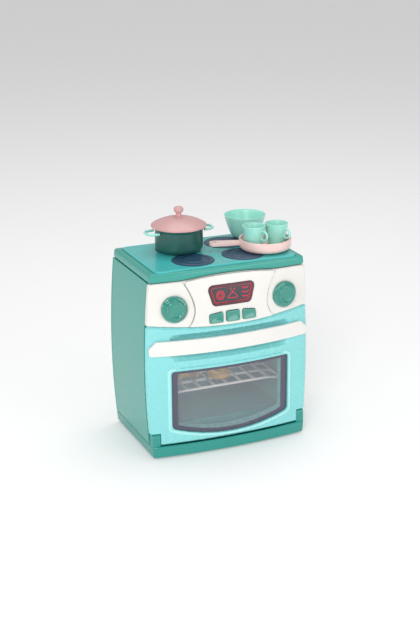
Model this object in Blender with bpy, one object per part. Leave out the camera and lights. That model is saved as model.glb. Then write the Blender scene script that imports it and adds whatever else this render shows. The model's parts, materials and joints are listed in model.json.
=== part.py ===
"""A toy oven: moulded body with a drop-down door, control panel, oven rack, hob and loose cookware.

Metres, +Z up, front towards -Y. The origin lies on the floor under the middle of the whole.
Heights are above the floor. Setbacks are measured back from the foremost point of the door.
"""

import math

import bmesh
import bpy

# Overall form
BODY_WIDTH = 0.150
OVERALL_DEPTH = 0.100
BELLY_HEIGHT = 0.080
BELLY_RISE = 0.080
BELLY_DRAW_IN = 0.0042
HANDLE_PROUD = 0.003
BODY_SETBACK = 0.014
SHELL_WALL = 0.0024

# Fits
FIT_GAP = 0.0003
PLAY = 0.0005
OVERRUN = 0.004
MERGE_DISTANCE = 0.000003

# Feet and plinth
FOOT_RADIUS = 0.006
FOOT_HEIGHT = 0.0012
FOOT_PEG_RADIUS = 0.0025
FOOT_PEG_LENGTH = 0.0020
FOOT_INSET = 0.016
PLINTH_BOTTOM = 0.0015
PLINTH_TOP = 0.0112
PLINTH_SETBACK = 0.0003
PLINTH_BOW = 0.006
PLINTH_FLOOR = 0.0025
PLINTH_SOLID_FRONT = 0.022
PLINTH_EDGE_RADIUS = 0.0006

# Door hinge
HINGE_SETBACK = 0.0095
HINGE_HEIGHT = 0.0192
PIN_RADIUS = 0.00125
PIN_ENGAGEMENT = 0.006
PIN_END_WALL = 0.001
EAR_WIDTH = 0.007
EAR_FRONT = 0.0033
EAR_RISE = 0.0036
EAR_BACK = 0.0041
DOOR_SWING = math.radians(90)
TROUGH_RUN_ON = math.radians(3)

# Door
DOOR_BOTTOM = 0.0123
DOOR_BOTTOM_SETBACK = 0.001
DOOR_BOTTOM_BOW = 0.006
DOOR_EDGE_RADIUS = 0.0014
DOOR_SIDE_NOTCH = 0.011
DOOR_NOTCH_HALF = BODY_WIDTH / 2 - DOOR_SIDE_NOTCH
DOOR_NOTCH_TOP = 0.0234
DOOR_PANEL_THICKNESS = 0.0022
DOOR_PANEL_RIM = 0.003
DOOR_PANEL_BOTTOM = 0.0153
DOOR_PANEL_SMILE = 0.022
WINDOW_SIDE = 0.0205
WINDOW_HALF = BODY_WIDTH / 2 - WINDOW_SIDE
WINDOW_TOP = 0.0785
WINDOW_BOTTOM = 0.017
WINDOW_SMILE = 0.0095
WINDOW_CORNER = 0.005
WINDOW_RECESS = 0.0026
WINDOW_SETBACK = 0.001
SIGHT_SIDE = 0.006
SIGHT_HALF = WINDOW_HALF - SIGHT_SIDE
SIGHT_TOP = 0.0755
SIGHT_BOTTOM = 0.0203
SIGHT_SMILE = 0.0085
SIGHT_CORNER = 0.003
BEAD_WIDTH = 0.0022
BEAD_PROUD = 0.0008
SCOOP_SIDE = 0.019
SCOOP_HALF = BODY_WIDTH / 2 - SCOOP_SIDE
SCOOP_BOTTOM = 0.0865
SCOOP_TOP = 0.1112
SCOOP_DEPTH = 0.0068
SCOOP_LIP = 0.0006
SCOOP_END_POWER = 8
SCOOP_DISH_POWER = 4

# Door handle
HANDLE_SIDE = 0.002
HANDLE_HALF = BODY_WIDTH / 2 - HANDLE_SIDE
HANDLE_BOTTOM = 0.0933
HANDLE_TOP = 0.1062
HANDLE_CHAMFER = 0.006
HANDLE_CORNER = 0.0022
HANDLE_EDGE_RADIUS = 0.0011

# Control fascia
FASCIA_BOTTOM = 0.1149
FASCIA_BOTTOM_BOW = 0.010
FASCIA_SMILE = 0.0050
FASCIA_TOP = 0.1557
FASCIA_TOP_SETBACK = 0.005
FASCIA_TOP_BOW = 0.004
FASCIA_CROWN = 0.0027
FASCIA_SKIN = 0.0034
FASCIA_RIM = 0.0032
FASCIA_SILL = 0.0012
FASCIA_EDGE_RADIUS = 0.0008
CENTRE_PROUD = 0.0012
CENTRE_SUNK = 0.0009
KNOB_SIDE = 0.0245
KNOB_SPREAD = BODY_WIDTH / 2 - KNOB_SIDE
CENTRE_WAIST_BESIDE = 0.0181
CENTRE_WAIST_HALF = KNOB_SPREAD - CENTRE_WAIST_BESIDE
CENTRE_WAIST_HEIGHT = 0.130
CENTRE_TOP_FLARE = 0.0098
CENTRE_BOTTOM_FLARE = 0.0062
CENTRE_MARGIN = 0.0006
CENTRE_CORNER = 0.004
BOSS_RADIUS = 0.0025
BOSS_SIDE = 0.0039
BOSS_SPREAD = CENTRE_WAIST_HALF - BOSS_SIDE
BOSS_HEIGHT = 0.137

# Display
DISPLAY_TOP = 0.1498
DISPLAY_TOP_SIDE = 0.0102
DISPLAY_TOP_HALF = CENTRE_WAIST_HALF - DISPLAY_TOP_SIDE
DISPLAY_BOTTOM = 0.1322
DISPLAY_TAPER = 0.0050
DISPLAY_BOTTOM_HALF = DISPLAY_TOP_HALF - DISPLAY_TAPER
DISPLAY_CORNER = 0.004
DISPLAY_PROUD = 0.0005
DISPLAY_DEPTH = 0.0042
DISPLAY_RIM = 0.0022
DISPLAY_WELL = 0.0020
DISPLAY_PANE = 0.0012

# Push buttons
BUTTON_PITCH_SHARE = 0.463
BUTTON_PITCH = CENTRE_WAIST_HALF * BUTTON_PITCH_SHARE
BUTTON_SPACE = 0.0028
BUTTON_WIDTH = BUTTON_PITCH - BUTTON_SPACE
BUTTON_HEIGHT = 0.0092
BUTTON_CENTRE = 0.1226
BUTTON_CORNER = 0.0016
BUTTON_PROUD = 0.0015
BUTTON_TRAVEL = 0.0013
BUTTON_DROP = 0.0016
BUTTON_FLANGE = 0.0009
BUTTON_FLANGE_THICKNESS = 0.0012
PAD_SIDE = 0.0029
PAD_HALF = BUTTON_PITCH + BUTTON_WIDTH / 2 + PAD_SIDE
PAD_HEIGHT = 0.011
PAD_THICKNESS = 0.0014
BOARD_SIDE = 0.0006
BOARD_HALF = CENTRE_WAIST_HALF + BOARD_SIDE
BOARD_BOTTOM = 0.1190
BOARD_TOP = 0.1500
BOARD_THICKNESS = 0.0015

# Control knobs
KNOB_HEIGHT = 0.133
KNOB_RADIUS = 0.01125
KNOB_SKIRT = 0.0026
KNOB_GRIP_RADIUS = 0.0076
KNOB_DISH_SHARES = (0.70, 0.84, 0.96, 1.04, 1.10)
KNOB_SKIRT_SHARES = (0.93, 0.86)
KNOB_PROUD = 0.0060
KNOB_DISH = 0.0009
KNOB_RECESS = 0.0006
KNOB_RECESS_MARGIN = 0.0010
AXLE_RADIUS = 0.003
AXLE_PLAY = 0.00035
AXLE_TAIL = 0.0062
AXLE_CLIP_RADIUS = 0.0048
AXLE_CLIP_THICKNESS = 0.0014

# Body shell
BACK_COVER_THICKNESS = 0.0022
BEZEL_SETBACK = 0.0176
BEZEL_THICKNESS = 0.0020
BEZEL_TOP = 0.1135
MOUTH_SIDE = 0.017
MOUTH_HALF = BODY_WIDTH / 2 - MOUTH_SIDE
MOUTH_BOTTOM = 0.025
MOUTH_TOP = 0.0845
MOUTH_CORNER = 0.006
CAVITY_MARGIN = 0.0018
CAVITY_WALL = 0.0020
CAVITY_BEHIND = 0.0360
CAVITY_DEPTH = OVERALL_DEPTH - CAVITY_BEHIND
LEDGE_HEIGHT = 0.0475
LEDGE_WIDTH = 0.0026
LEDGE_THICKNESS = 0.0020
LEDGE_END = 0.006

# Oven rack
RACK_BAR = 0.0018
RACK_THICKNESS = 0.0020
RACK_CELLS = 9
RACK_RAILS = 3
RACK_SIDE_PLAY = 0.0012
RACK_DROP = 0.0022
RACK_FRONT_GAP = 0.0030
RACK_BACK_GAP = 0.0050
RACK_LENGTH = CAVITY_DEPTH - RACK_FRONT_GAP - RACK_BACK_GAP

# Food
ROLL_REACH = 0.0085
ROLL_RADIUS = 0.0048
ROLL_END_RADIUS = 0.0016
ROLL_STEP_SHARE = 0.93
ROLL_SWEEP = math.radians(105)
ROLL_SPREAD = -0.0250
ROLL_SETBACK = 0.0400
RING_RADIUS = 0.0068
RING_TUBE = 0.0040
RING_HEIGHT_SHARE = 0.90
RING_SPREAD = 0.0040
RING_SETBACK = 0.0400

# Oven lamp
LAMP_RADIUS = 0.004
LAMP_FLANGE = 0.0015
LAMP_DROP = 0.0022
LAMP_HEIGHT = 0.0050
LAMP_SETBACK_SHARE = 0.52
LAMP_SETBACK = OVERALL_DEPTH * LAMP_SETBACK_SHARE

# Battery bay, speaker and switch
BAY_HALF = 0.030
BAY_BOTTOM = 0.0920
BAY_HEIGHT = 0.0290
BAY_DEPTH = 0.0155
BAY_WALL = 0.0018
BAY_CORNER = 0.003
BAY_LEDGE = 0.002
SPEAKER_RADIUS = 0.016
SPEAKER_MAGNET_RADIUS = 0.009
SPEAKER_DEPTH = 0.007
SPEAKER_BASKET = 0.0025
SPEAKER_HEIGHT = 0.1405
GRILLE_SLOTS = 5
GRILLE_PITCH = 0.0044
GRILLE_SLOT_WIDTH = 0.002
GRILLE_HALF = 0.012
SWITCH_SIDE = 0.028
SWITCH_SPREAD = SWITCH_SIDE - BODY_WIDTH / 2
SWITCH_HEIGHT = 0.045
SWITCH_NUB_HALF = 0.003
SWITCH_NUB_HEIGHT = 0.004
SWITCH_TRAVEL = 0.004
SWITCH_FLANGE = 0.0022
SWITCH_FLANGE_THICKNESS = 0.0016
SWITCH_INSET = 0.0002

# Deck, hob plate and burners
DECK_TOP = 0.1640
DECK_SETBACK = 0.0052
DECK_BOW = 0.004
DECK_EDGE_RADIUS = 0.0022
DECK_SKIN = 0.0034
HOB_SIDE = 0.0095
HOB_HALF = BODY_WIDTH / 2 - HOB_SIDE
HOB_FRONT = 0.0092
HOB_BEHIND = 0.0070
HOB_BACK = OVERALL_DEPTH - HOB_BEHIND
HOB_LENGTH = HOB_BACK - HOB_FRONT
HOB_CORNER = 0.006
HOB_RECESS = 0.0012
HOB_THICKNESS = 0.0021
HOB_EDGE_RADIUS = 0.0005
BURNER_SHARE = 0.2148
BURNER_FRONT_SHARE = 0.2542
BURNER_BACK_SHARE = 0.7136
BURNER_RADIUS = HOB_LENGTH * BURNER_SHARE
BURNER_MIDDLE_GAP = 0.005
BURNER_SPREAD = BURNER_RADIUS + BURNER_MIDDLE_GAP
BURNER_FRONT = HOB_FRONT + HOB_LENGTH * BURNER_FRONT_SHARE
BURNER_BACK = HOB_FRONT + HOB_LENGTH * BURNER_BACK_SHARE
BURNER_RECESS = 0.0008
BURNER_THICKNESS = 0.0013
BURNER_RING = 0.0004
BURNER_RING_SHARES = (0.80, 0.42)
BURNER_RING_WIDTH = 0.0016

# Pot and lid
POT_SPREAD = -0.0225
POT_AHEAD = 0.0060
POT_SETBACK = BURNER_BACK - POT_AHEAD
POT_RADIUS = 0.0207
POT_HEIGHT = 0.0205
POT_WALL = 0.0012
POT_FOOT_RADIUS = 0.0190
POT_LIP = 0.0007
VESSEL_FLOOR_SHARE = 2.3
EAR_LOOP_REACH = 0.0105
EAR_LOOP_SHOULDER_SHARE = 0.60
EAR_LOOP_END_SHARE = 0.55
EAR_HOLE_INNER_SHARE = 0.80
EAR_HOLE_END_SHARE = 0.60
EAR_LOOP_HALF = 0.0085
EAR_LOOP_BAR = 0.0026
EAR_LOOP_THICKNESS = 0.0024
EAR_LOOP_DROP = 0.0046
LID_RADIUS = 0.0240
LID_RISE = 0.0085
LID_WALL = 0.0014
LID_SPIGOT = 0.0024
LID_KNOB_RADIUS = 0.0042
LID_KNOB_NECK = 0.0022
LID_KNOB_HEIGHT = 0.0085

# Frying pan
PAN_SPREAD = 0.0470
PAN_BEHIND = 0.0060
PAN_SETBACK = BURNER_FRONT + PAN_BEHIND
PAN_RADIUS = 0.0226
PAN_HEIGHT = 0.0092
PAN_WALL = 0.0013
PAN_FOOT_RADIUS = 0.0208
PAN_HANDLE_LENGTH = 0.0262
PAN_HANDLE_WIDTH = 0.0068
PAN_HANDLE_END_WIDTH = 0.0090
PAN_HANDLE_THICKNESS = 0.0030
PAN_HANDLE_RISE = 0.0040
PAN_HANDLE_TURN = math.radians(165)
PAN_HANDLE_HOLE = 0.0022
PAN_HANDLE_ROUND_SHARE = 0.90

# Cups
CUP_RADIUS = 0.0102
CUP_FOOT_RADIUS = 0.0074
CUP_HEIGHT = 0.0195
CUP_WALL = 0.0010
CUP_GAP = 0.0010
CUP_LOOP_RADIUS = 0.0040
CUP_LOOP_TUBE = 0.0010
CUP_TURN = math.radians(-70)
CUP_FLOOR_SHARE = 1.5
CUP_LOOP_OUT_SHARE = 0.75
CUP_LOOP_UP_SHARE = 0.62

# Bowl
BOWL_SPREAD = PAN_SPREAD
BOWL_BEHIND = 0.0418
BOWL_SETBACK = PAN_SETBACK + BOWL_BEHIND
BOWL_RADIUS = 0.0186
BOWL_FOOT_RADIUS = 0.0100
BOWL_HEIGHT = 0.0200
BOWL_WALL = 0.0012
BOWL_POWER = 0.6

# Smoothness
WIDE_COLUMNS = 16
TALL_ROWS = 6
ARC_STEPS = 4
ROUND_STEPS = 24
FINE_STEPS = 20
SMALL_STEPS = 12
EAR_STEPS = 6
ROLL_STEPS = 12
ROLL_SIDES = 10
RING_SIDES = 8
LOOP_SIDES = 6
SMOOTH_ANGLE = math.radians(32)
BEVEL_ANGLE = math.radians(50)
CROWN_SHARE = 0.56
CENTRE_TOP_SHARE = 0.60
FLARE_POWER = 1.7
LID_DOME_SHARES = (0.50, 0.80)
LID_UNDERSIDE_SHARES = (0.52,)
LID_INSIDE_SHARE = 0.80
LID_KNOB_SHARES = ((0.70, 0.05), (1.00, 0.30), (0.85, 0.55))
LID_NECK_FOOT_SHARE = 1.30
BOWL_SHARES = (0.0, 0.2, 0.55)

PAINT = {
    "shell_teal": ((0.050, 0.350, 0.270), 0.38),
    "plinth_teal": ((0.024, 0.340, 0.300), 0.38),
    "door_aqua": ((0.210, 0.750, 0.720), 0.30),
    "hob_aqua": ((0.072, 0.552, 0.578), 0.32),
    "ivory": ((0.880, 0.870, 0.830), 0.35),
    "white": ((0.900, 0.900, 0.890), 0.35),
    "control_teal": ((0.040, 0.370, 0.260), 0.25),
    "display_red": ((0.200, 0.006, 0.030), 0.22),
    "display_navy": ((0.030, 0.035, 0.060), 0.12),
    "smoked": ((0.120, 0.100, 0.130), 0.10),
    "liner_teal": ((0.040, 0.260, 0.220), 0.45),
    "burner_navy": ((0.020, 0.050, 0.110), 0.40),
    "pot_green": ((0.018, 0.125, 0.110), 0.32),
    "lid_pink": ((0.640, 0.330, 0.340), 0.32),
    "pan_pink": ((0.880, 0.540, 0.520), 0.35),
    "mint": ((0.270, 0.700, 0.580), 0.35),
    "crust": ((0.740, 0.400, 0.080), 0.55),
    "board_green": ((0.030, 0.180, 0.060), 0.45),
    "rubber_grey": ((0.060, 0.060, 0.065), 0.80),
    "steel": ((0.600, 0.600, 0.600), 0.30),
    "lamp_clear": ((0.850, 0.780, 0.560), 0.15),
    "speaker_black": ((0.025, 0.025, 0.028), 0.60),
}


def clear_scene():
    for obj in list(bpy.data.objects):
        bpy.data.objects.remove(obj, do_unlink=True)


def paint(name):
    """The plastic of one colour, made once."""
    material = bpy.data.materials.get(name)
    if material is None:
        colour, roughness = PAINT[name]
        material = bpy.data.materials.new(name)
        material.use_nodes = True
        shader = material.node_tree.nodes["Principled BSDF"]
        shader.inputs["Base Color"].default_value = (*colour, 1)
        shader.inputs["Roughness"].default_value = roughness
        shader.inputs["Metallic"].default_value = 1 if name == "steel" else 0
        material.diffuse_color = (*colour, 1)
    return material


# Body surfaces


def half_width(height):
    """Half the body's width, which swells like a barrel to its widest at the belly."""
    return BODY_WIDTH / 2 - BELLY_DRAW_IN * ((height - BELLY_HEIGHT) / BELLY_RISE) ** 2


def behind(setback):
    return setback + HANDLE_PROUD - OVERALL_DEPTH / 2


def back_plane():
    return OVERALL_DEPTH / 2


def bowed(lower, upper):
    """A front surface bowed in plan, between two heights given as (height, setback, bow)."""

    def surface(x, height):
        part = (height - lower[0]) / (upper[0] - lower[0])
        setback = lower[1] + (upper[1] - lower[1]) * part
        bow = lower[2] + (upper[2] - lower[2]) * part
        return behind(setback + bow * (2 * x / BODY_WIDTH) ** 2)

    return surface


def shifted(surface, distance):
    return lambda x, height: surface(x, height) + distance


def flat(value):
    return lambda *place: value


def fascia_low(across):
    return FASCIA_BOTTOM + FASCIA_SMILE * across**2


def fascia_high(across):
    return FASCIA_TOP + FASCIA_CROWN * max(0, 1 - (across / CROWN_SHARE) ** 2)


def door_high(across):
    return fascia_low(across) - PLAY


def door_back():
    return behind(BODY_SETBACK - PLAY)


def hob_top():
    return DECK_TOP - HOB_RECESS + FIT_GAP + HOB_THICKNESS


def burner_top():
    return hob_top() - BURNER_RECESS + FIT_GAP + BURNER_THICKNESS


def stove_top():
    """The height on which cookware stands, just over the burner rings."""
    return burner_top() + FIT_GAP


def plinth_front():
    return bowed((0, PLINTH_SETBACK, PLINTH_BOW), (PLINTH_TOP, PLINTH_SETBACK, PLINTH_BOW))


def door_front():
    low = (DOOR_BOTTOM, DOOR_BOTTOM_SETBACK, DOOR_BOTTOM_BOW)
    return bowed(low, (FASCIA_BOTTOM, 0, FASCIA_BOTTOM_BOW))


def fascia_front():
    low = (FASCIA_BOTTOM, 0, FASCIA_BOTTOM_BOW)
    return bowed(low, (FASCIA_TOP, FASCIA_TOP_SETBACK, FASCIA_TOP_BOW))


# Modelling helpers


def add_object(name, mesh_maker, colour=None):
    mesh = bpy.data.meshes.new(name)
    bmesh.ops.recalc_face_normals(mesh_maker, faces=mesh_maker.faces[:])
    mesh_maker.to_mesh(mesh)
    mesh_maker.free()
    obj = bpy.data.objects.new(name, mesh)
    bpy.context.scene.collection.objects.link(obj)
    if colour:
        mesh.materials.append(paint(colour))
    return obj


def hide(obj):
    obj.hide_render = True
    obj.display_type = "WIRE"


def combine(target, other, operation):
    modifier = target.modifiers.new(other.name, "BOOLEAN")
    modifier.operation = operation
    modifier.object = other
    hide(other)
    return target


def cut(target, cutter):
    return combine(target, cutter, "DIFFERENCE")


def join(target, other):
    return combine(target, other, "UNION")


def soften(obj, radius, segments=2):
    modifier = obj.modifiers.new("rounded edges", "BEVEL")
    modifier.width = radius
    modifier.segments = segments
    modifier.limit_method = "ANGLE"
    modifier.angle_limit = BEVEL_ANGLE
    return obj


def spanning(width, low, high):
    """Places a share across and a share up on a panel of changing width and curved edges."""

    def place(across, up):
        height = low(across) + (high(across) - low(across)) * up
        return across * width(height), height

    return place


def curved_slab(name, place, front, back, columns, rows, colour=None):
    """A closed slab on a grid of places, from its front surface to its back surface."""
    maker = bmesh.new()
    bmesh.ops.create_grid(maker, x_segments=columns, y_segments=rows, size=1)
    for vertex in maker.verts:
        x, height = place(vertex.co.x, (vertex.co.y + 1) / 2)
        vertex.co = (x, front(x, height), height)
    grown = bmesh.ops.extrude_face_region(maker, geom=maker.faces[:])
    rear = [item for item in grown["geom"] if isinstance(item, bmesh.types.BMVert)]
    for vertex in rear:
        vertex.co.y = back(vertex.co.x, vertex.co.z)
    return add_object(name, maker, colour)


def prism(name, outline, axis, start, end, colour=None):
    """A closed outline drawn square to an axis and extruded along it."""
    frames = {"X": (1, 2, 0), "Y": (0, 2, 1), "Z": (0, 1, 2)}
    first, second, along = frames[axis]
    maker = bmesh.new()
    corners = []
    for a, b in outline:
        point = [0, 0, 0]
        point[first], point[second], point[along] = a, b, start
        corners.append(maker.verts.new(point))
    face = maker.faces.new(corners)
    grown = bmesh.ops.extrude_face_region(maker, geom=[face])
    for item in grown["geom"]:
        if isinstance(item, bmesh.types.BMVert):
            item.co[along] = end
    return add_object(name, maker, colour)


def block(name, low, high, colour=None):
    outline = [(low[0], low[1]), (high[0], low[1]), (high[0], high[1]), (low[0], high[1])]
    return prism(name, outline, "Z", low[2], high[2], colour)


def turned(name, profile, steps, colour=None):
    """A round piece: the profile, as (radius, height) from top to bottom, turned about Z."""
    mesh = bpy.data.meshes.new(name)
    closed = profile[0][0] > 0
    edges = [(i, i + 1) for i in range(len(profile) - 1)]
    if closed:
        edges.append((len(profile) - 1, 0))
    mesh.from_pydata([(radius, 0, height) for radius, height in profile], edges, [])
    obj = bpy.data.objects.new(name, mesh)
    bpy.context.scene.collection.objects.link(obj)
    if colour:
        mesh.materials.append(paint(colour))
    screw = obj.modifiers.new("turn", "SCREW")
    screw.axis = "Z"
    screw.angle = 2 * math.pi
    screw.steps = steps
    screw.render_steps = steps
    screw.use_merge_vertices = True
    screw.merge_threshold = MERGE_DISTANCE
    screw.use_smooth_shade = True
    return obj


def rod(name, radius, low, high, steps, colour=None):
    return turned(name, [(0, high), (radius, high), (radius, low), (0, low)], steps, colour)


def swept(name, centres, radii, sides, colour=None):
    """A closed tube of changing radius, its rings square to a path that lies level."""
    maker = bmesh.new()
    rings = []
    for i, (x, y, height) in enumerate(centres):
        before, after = centres[max(i - 1, 0)], centres[min(i + 1, len(centres) - 1)]
        heading = math.atan2(after[1] - before[1], after[0] - before[0])
        ring = []
        for k in range(sides):
            angle = 2 * math.pi * k / sides
            out = radii[i] * math.cos(angle)
            rise = radii[i] * math.sin(angle)
            at = (x - out * math.sin(heading), y + out * math.cos(heading), height + rise)
            ring.append(maker.verts.new(at))
        rings.append(ring)
    for ring, following in zip(rings, rings[1:]):
        for k in range(sides):
            following_k = (k + 1) % sides
            maker.faces.new((ring[k], ring[following_k], following[following_k], following[k]))
    maker.faces.new(rings[0])
    maker.faces.new(rings[-1])
    return add_object(name, maker, colour)


def lofted(name, sections, colour=None):
    """A closed body through sections that have the same number of points."""
    maker = bmesh.new()
    rings = [[maker.verts.new(point) for point in section] for section in sections]
    count = len(rings[0])
    for ring, following in zip(rings, rings[1:]):
        for k in range(count):
            after = (k + 1) % count
            maker.faces.new((ring[k], ring[after], following[after], following[k]))
    maker.faces.new(rings[0])
    maker.faces.new(rings[-1])
    return add_object(name, maker, colour)


def rounded(corners, radii, steps=ARC_STEPS):
    """An outline with round corners. A radius of zero leaves its corner sharp."""
    outline = []
    count = len(corners)
    for i, (x, y) in enumerate(corners):
        radius = radii[i] if isinstance(radii, (list, tuple)) else radii
        if radius == 0:
            outline.append((x, y))
            continue
        before, after = corners[i - 1], corners[(i + 1) % count]
        to_before = math.atan2(before[1] - y, before[0] - x)
        to_after = math.atan2(after[1] - y, after[0] - x)
        opening = (to_before - to_after) % (2 * math.pi)
        middle = to_after + opening / 2
        reach = radius / math.sin(opening / 2)
        centre = (x + reach * math.cos(middle), y + reach * math.sin(middle))
        turn = math.pi - opening
        start = to_before - math.pi / 2 - math.pi
        for k in range(steps + 1):
            angle = start + turn * k / steps
            outline.append((centre[0] - radius * math.cos(angle + math.pi),
                            centre[1] - radius * math.sin(angle + math.pi)))
    return outline


def rectangle(half, low, high, radius, middle=0, steps=ARC_STEPS):
    corners = [(middle - half, low), (middle + half, low), (middle + half, high), (middle - half, high)]
    return rounded(corners, radius, steps)


def grown(outline, distance):
    """The outline moved outwards by a distance, or inwards where it is negative."""
    moved = []
    count = len(outline)
    for i, (x, y) in enumerate(outline):
        before, after = outline[i - 1], outline[(i + 1) % count]
        first = math.atan2(y - before[1], x - before[0])
        turn = (math.atan2(after[1] - y, after[0] - x) - first + math.pi) % (2 * math.pi) - math.pi
        outward = first + turn / 2 - math.pi / 2
        reach = distance / math.cos(turn / 2)
        moved.append((x + reach * math.cos(outward), y + reach * math.sin(outward)))
    return moved


def panel_outline(width, low, high):
    """The outline of a flat panel of changing width with a curved lower and upper edge."""
    upright = 2 * TALL_ROWS
    shares = [2 * k / WIDE_COLUMNS - 1 for k in range(WIDE_COLUMNS + 1)]
    outline = [(u * width(low(u)), low(u)) for u in shares]
    heights = [low(1) + (high(1) - low(1)) * j / upright for j in range(1, upright)]
    outline += [(width(height), height) for height in heights]
    outline += [(u * width(high(u)), high(u)) for u in reversed(shares)]
    return outline + [(-width(height), height) for height in reversed(heights)]


def plate(name, outline, front, back, columns, rows, colour=None):
    """An outline cut from a curved slab: the way a moulded panel or its recess is drawn."""
    xs = [x for x, _ in outline]
    heights = [height for _, height in outline]
    middle, half = (max(xs) + min(xs)) / 2, (max(xs) - min(xs)) / 2 + OVERRUN
    low, high = min(heights) - OVERRUN, max(heights) + OVERRUN

    def place(across, up):
        return middle + across * half, low + (high - low) * up

    slab = curved_slab(name, place, front, back, columns, rows, colour)
    depths = [surface(x, h) for surface in (front, back) for x, h in outline]
    margin = OVERRUN + OVERALL_DEPTH
    punch = prism(name + "_punch", outline, "Y", min(depths) - margin, max(depths) + margin)
    return combine(slab, punch, "INTERSECT")


def smiling(half, low, smile, top, bottom_radius, top_radius):
    """An outline with a straight top and upright sides over a bottom edge that curves up to them."""
    count = WIDE_COLUMNS // 2
    bottom = []
    for k in range(count + 1):
        across = 2 * k / count - 1
        bottom.append((across * half, low + smile * across**2))
    corners = bottom + [(half, top), (-half, top)]
    radii = [bottom_radius] + [0] * (count - 1) + [bottom_radius, top_radius, top_radius]
    return rounded(corners, radii)


# Plinth, feet and hinge ears


def hinge_reach(x):
    """How far the door's lower front edge lies from the hinge axis."""
    forward = behind(HINGE_SETBACK) - door_front()(x, DOOR_BOTTOM)
    return math.hypot(forward, HINGE_HEIGHT - DOOR_BOTTOM)


def trough():
    """The hollow along the plinth in which the door's lower edge swings down."""
    rim = PLINTH_TOP + PLAY
    sections = []
    for k in range(WIDE_COLUMNS // 2 + 1):
        x = (DOOR_NOTCH_HALF + PLAY / 2) * (4 * k / WIDE_COLUMNS - 1)
        radius = hinge_reach(x) + PLAY
        first = math.asin((HINGE_HEIGHT - rim) / radius)
        edge = math.asin((HINGE_HEIGHT - DOOR_BOTTOM) / (radius - PLAY))
        last = min(edge + DOOR_SWING + TROUGH_RUN_ON, math.pi - first)
        section = []
        for step in range(2 * ARC_STEPS + 1):
            angle = first + (last - first) * step / (2 * ARC_STEPS)
            y = behind(HINGE_SETBACK) - radius * math.cos(angle)
            section.append((x, y, HINGE_HEIGHT - radius * math.sin(angle)))
        section.append((x, section[-1][1], rim + OVERRUN))
        section.append((x, section[0][1], rim + OVERRUN))
        sections.append(section)
    return lofted("trough", sections)


def ear(side):
    """One upright ear that carries a hinge pin, its top rounded about the pin."""
    y, height = behind(HINGE_SETBACK), HINGE_HEIGHT
    outline = [(y - EAR_FRONT, PLINTH_TOP - PLAY), (y + EAR_BACK, PLINTH_TOP - PLAY)]
    outline.append((y + EAR_BACK, height + EAR_RISE))
    for step in range(ARC_STEPS + 1):
        angle = math.pi / 2 * (1 + step / ARC_STEPS)
        outline.append((y + EAR_FRONT * math.cos(angle), height + EAR_RISE * math.sin(angle)))
    inner = side * (DOOR_NOTCH_HALF + PLAY)
    return prism("ear_form", outline, "X", inner, inner + side * EAR_WIDTH)


def foot_places():
    across = BODY_WIDTH / 2 - FOOT_INSET
    front = behind(BODY_SETBACK)
    back = back_plane() - FOOT_INSET
    return [(-across, front), (across, front), (-across, back), (across, back)]


def base_plinth():
    place = spanning(half_width, flat(PLINTH_BOTTOM), flat(PLINTH_TOP))
    back = flat(back_plane())
    plinth = curved_slab("base_plinth", place, plinth_front(), back, WIDE_COLUMNS, 1, "plinth_teal")
    soften(plinth, PLINTH_EDGE_RADIUS, 1)
    for side in (-1, 1):
        join(plinth, ear(side))
    cut(plinth, trough())
    half = half_width(PLINTH_BOTTOM) - SHELL_WALL - PLAY
    well_low = (-half, behind(PLINTH_SOLID_FRONT), PLINTH_BOTTOM + PLINTH_FLOOR)
    well_high = (half, back_plane() - SHELL_WALL, PLINTH_TOP + OVERRUN)
    cut(plinth, block("plinth_well", well_low, well_high))
    for side in (-1, 1):
        inner = side * (DOOR_NOTCH_HALF - OVERRUN)
        depth = side * (DOOR_NOTCH_HALF + PLAY + EAR_WIDTH - PIN_END_WALL)
        bore = pin_rod("ear_bore", PIN_RADIUS + FIT_GAP, inner, depth)
        cut(plinth, bore)
    for number, (x, y) in enumerate(foot_places(), 1):
        hole = rod(f"foot_hole_{number}", FOOT_PEG_RADIUS + FIT_GAP, PLINTH_BOTTOM - OVERRUN,
                   FOOT_HEIGHT + FOOT_PEG_LENGTH + FIT_GAP, SMALL_STEPS)
        hole.location = (x, y, 0)
        cut(plinth, hole)
    return plinth


def feet():
    for number, (x, y) in enumerate(foot_places(), 1):
        top = FOOT_HEIGHT + FOOT_PEG_LENGTH
        profile = [(0, top), (FOOT_PEG_RADIUS, top), (FOOT_PEG_RADIUS, FOOT_HEIGHT)]
        profile += [(FOOT_RADIUS, FOOT_HEIGHT), (FOOT_RADIUS, 0), (0, 0)]
        foot = turned(f"foot_{number}", profile, SMALL_STEPS, "rubber_grey")
        foot.location = (x, y, 0)


def pin_rod(name, radius, start, end, colour=None):
    """A rod on the hinge axis between two places along X."""
    pin = rod(name, radius, min(start, end), max(start, end), SMALL_STEPS, colour)
    pin.rotation_euler = (0, math.pi / 2, 0)
    pin.location = (0, behind(HINGE_SETBACK), HINGE_HEIGHT)
    return pin


def hinge_pins():
    for name, side in (("hinge_pin_left", -1), ("hinge_pin_right", 1)):
        start = side * (DOOR_NOTCH_HALF - PIN_ENGAGEMENT)
        end = side * (DOOR_NOTCH_HALF + PLAY + EAR_WIDTH - PIN_END_WALL - FIT_GAP)
        pin_rod(name, PIN_RADIUS, start, end, "steel")


# Body shell


def side_panels():
    low, high = PLINTH_TOP + FIT_GAP, FASCIA_TOP
    front = flat(behind(BODY_SETBACK) + FIT_GAP)
    back = flat(back_plane() - BACK_COVER_THICKNESS - FIT_GAP)
    for name, side in (("side_panel_left", -1), ("side_panel_right", 1)):

        def place(across, up, side=side):
            height = low + (high - low) * up
            return side * (half_width(height) - SHELL_WALL * (1 + across) / 2), height

        curved_slab(name, place, front, back, 1, 2 * TALL_ROWS, "shell_teal")


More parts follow.
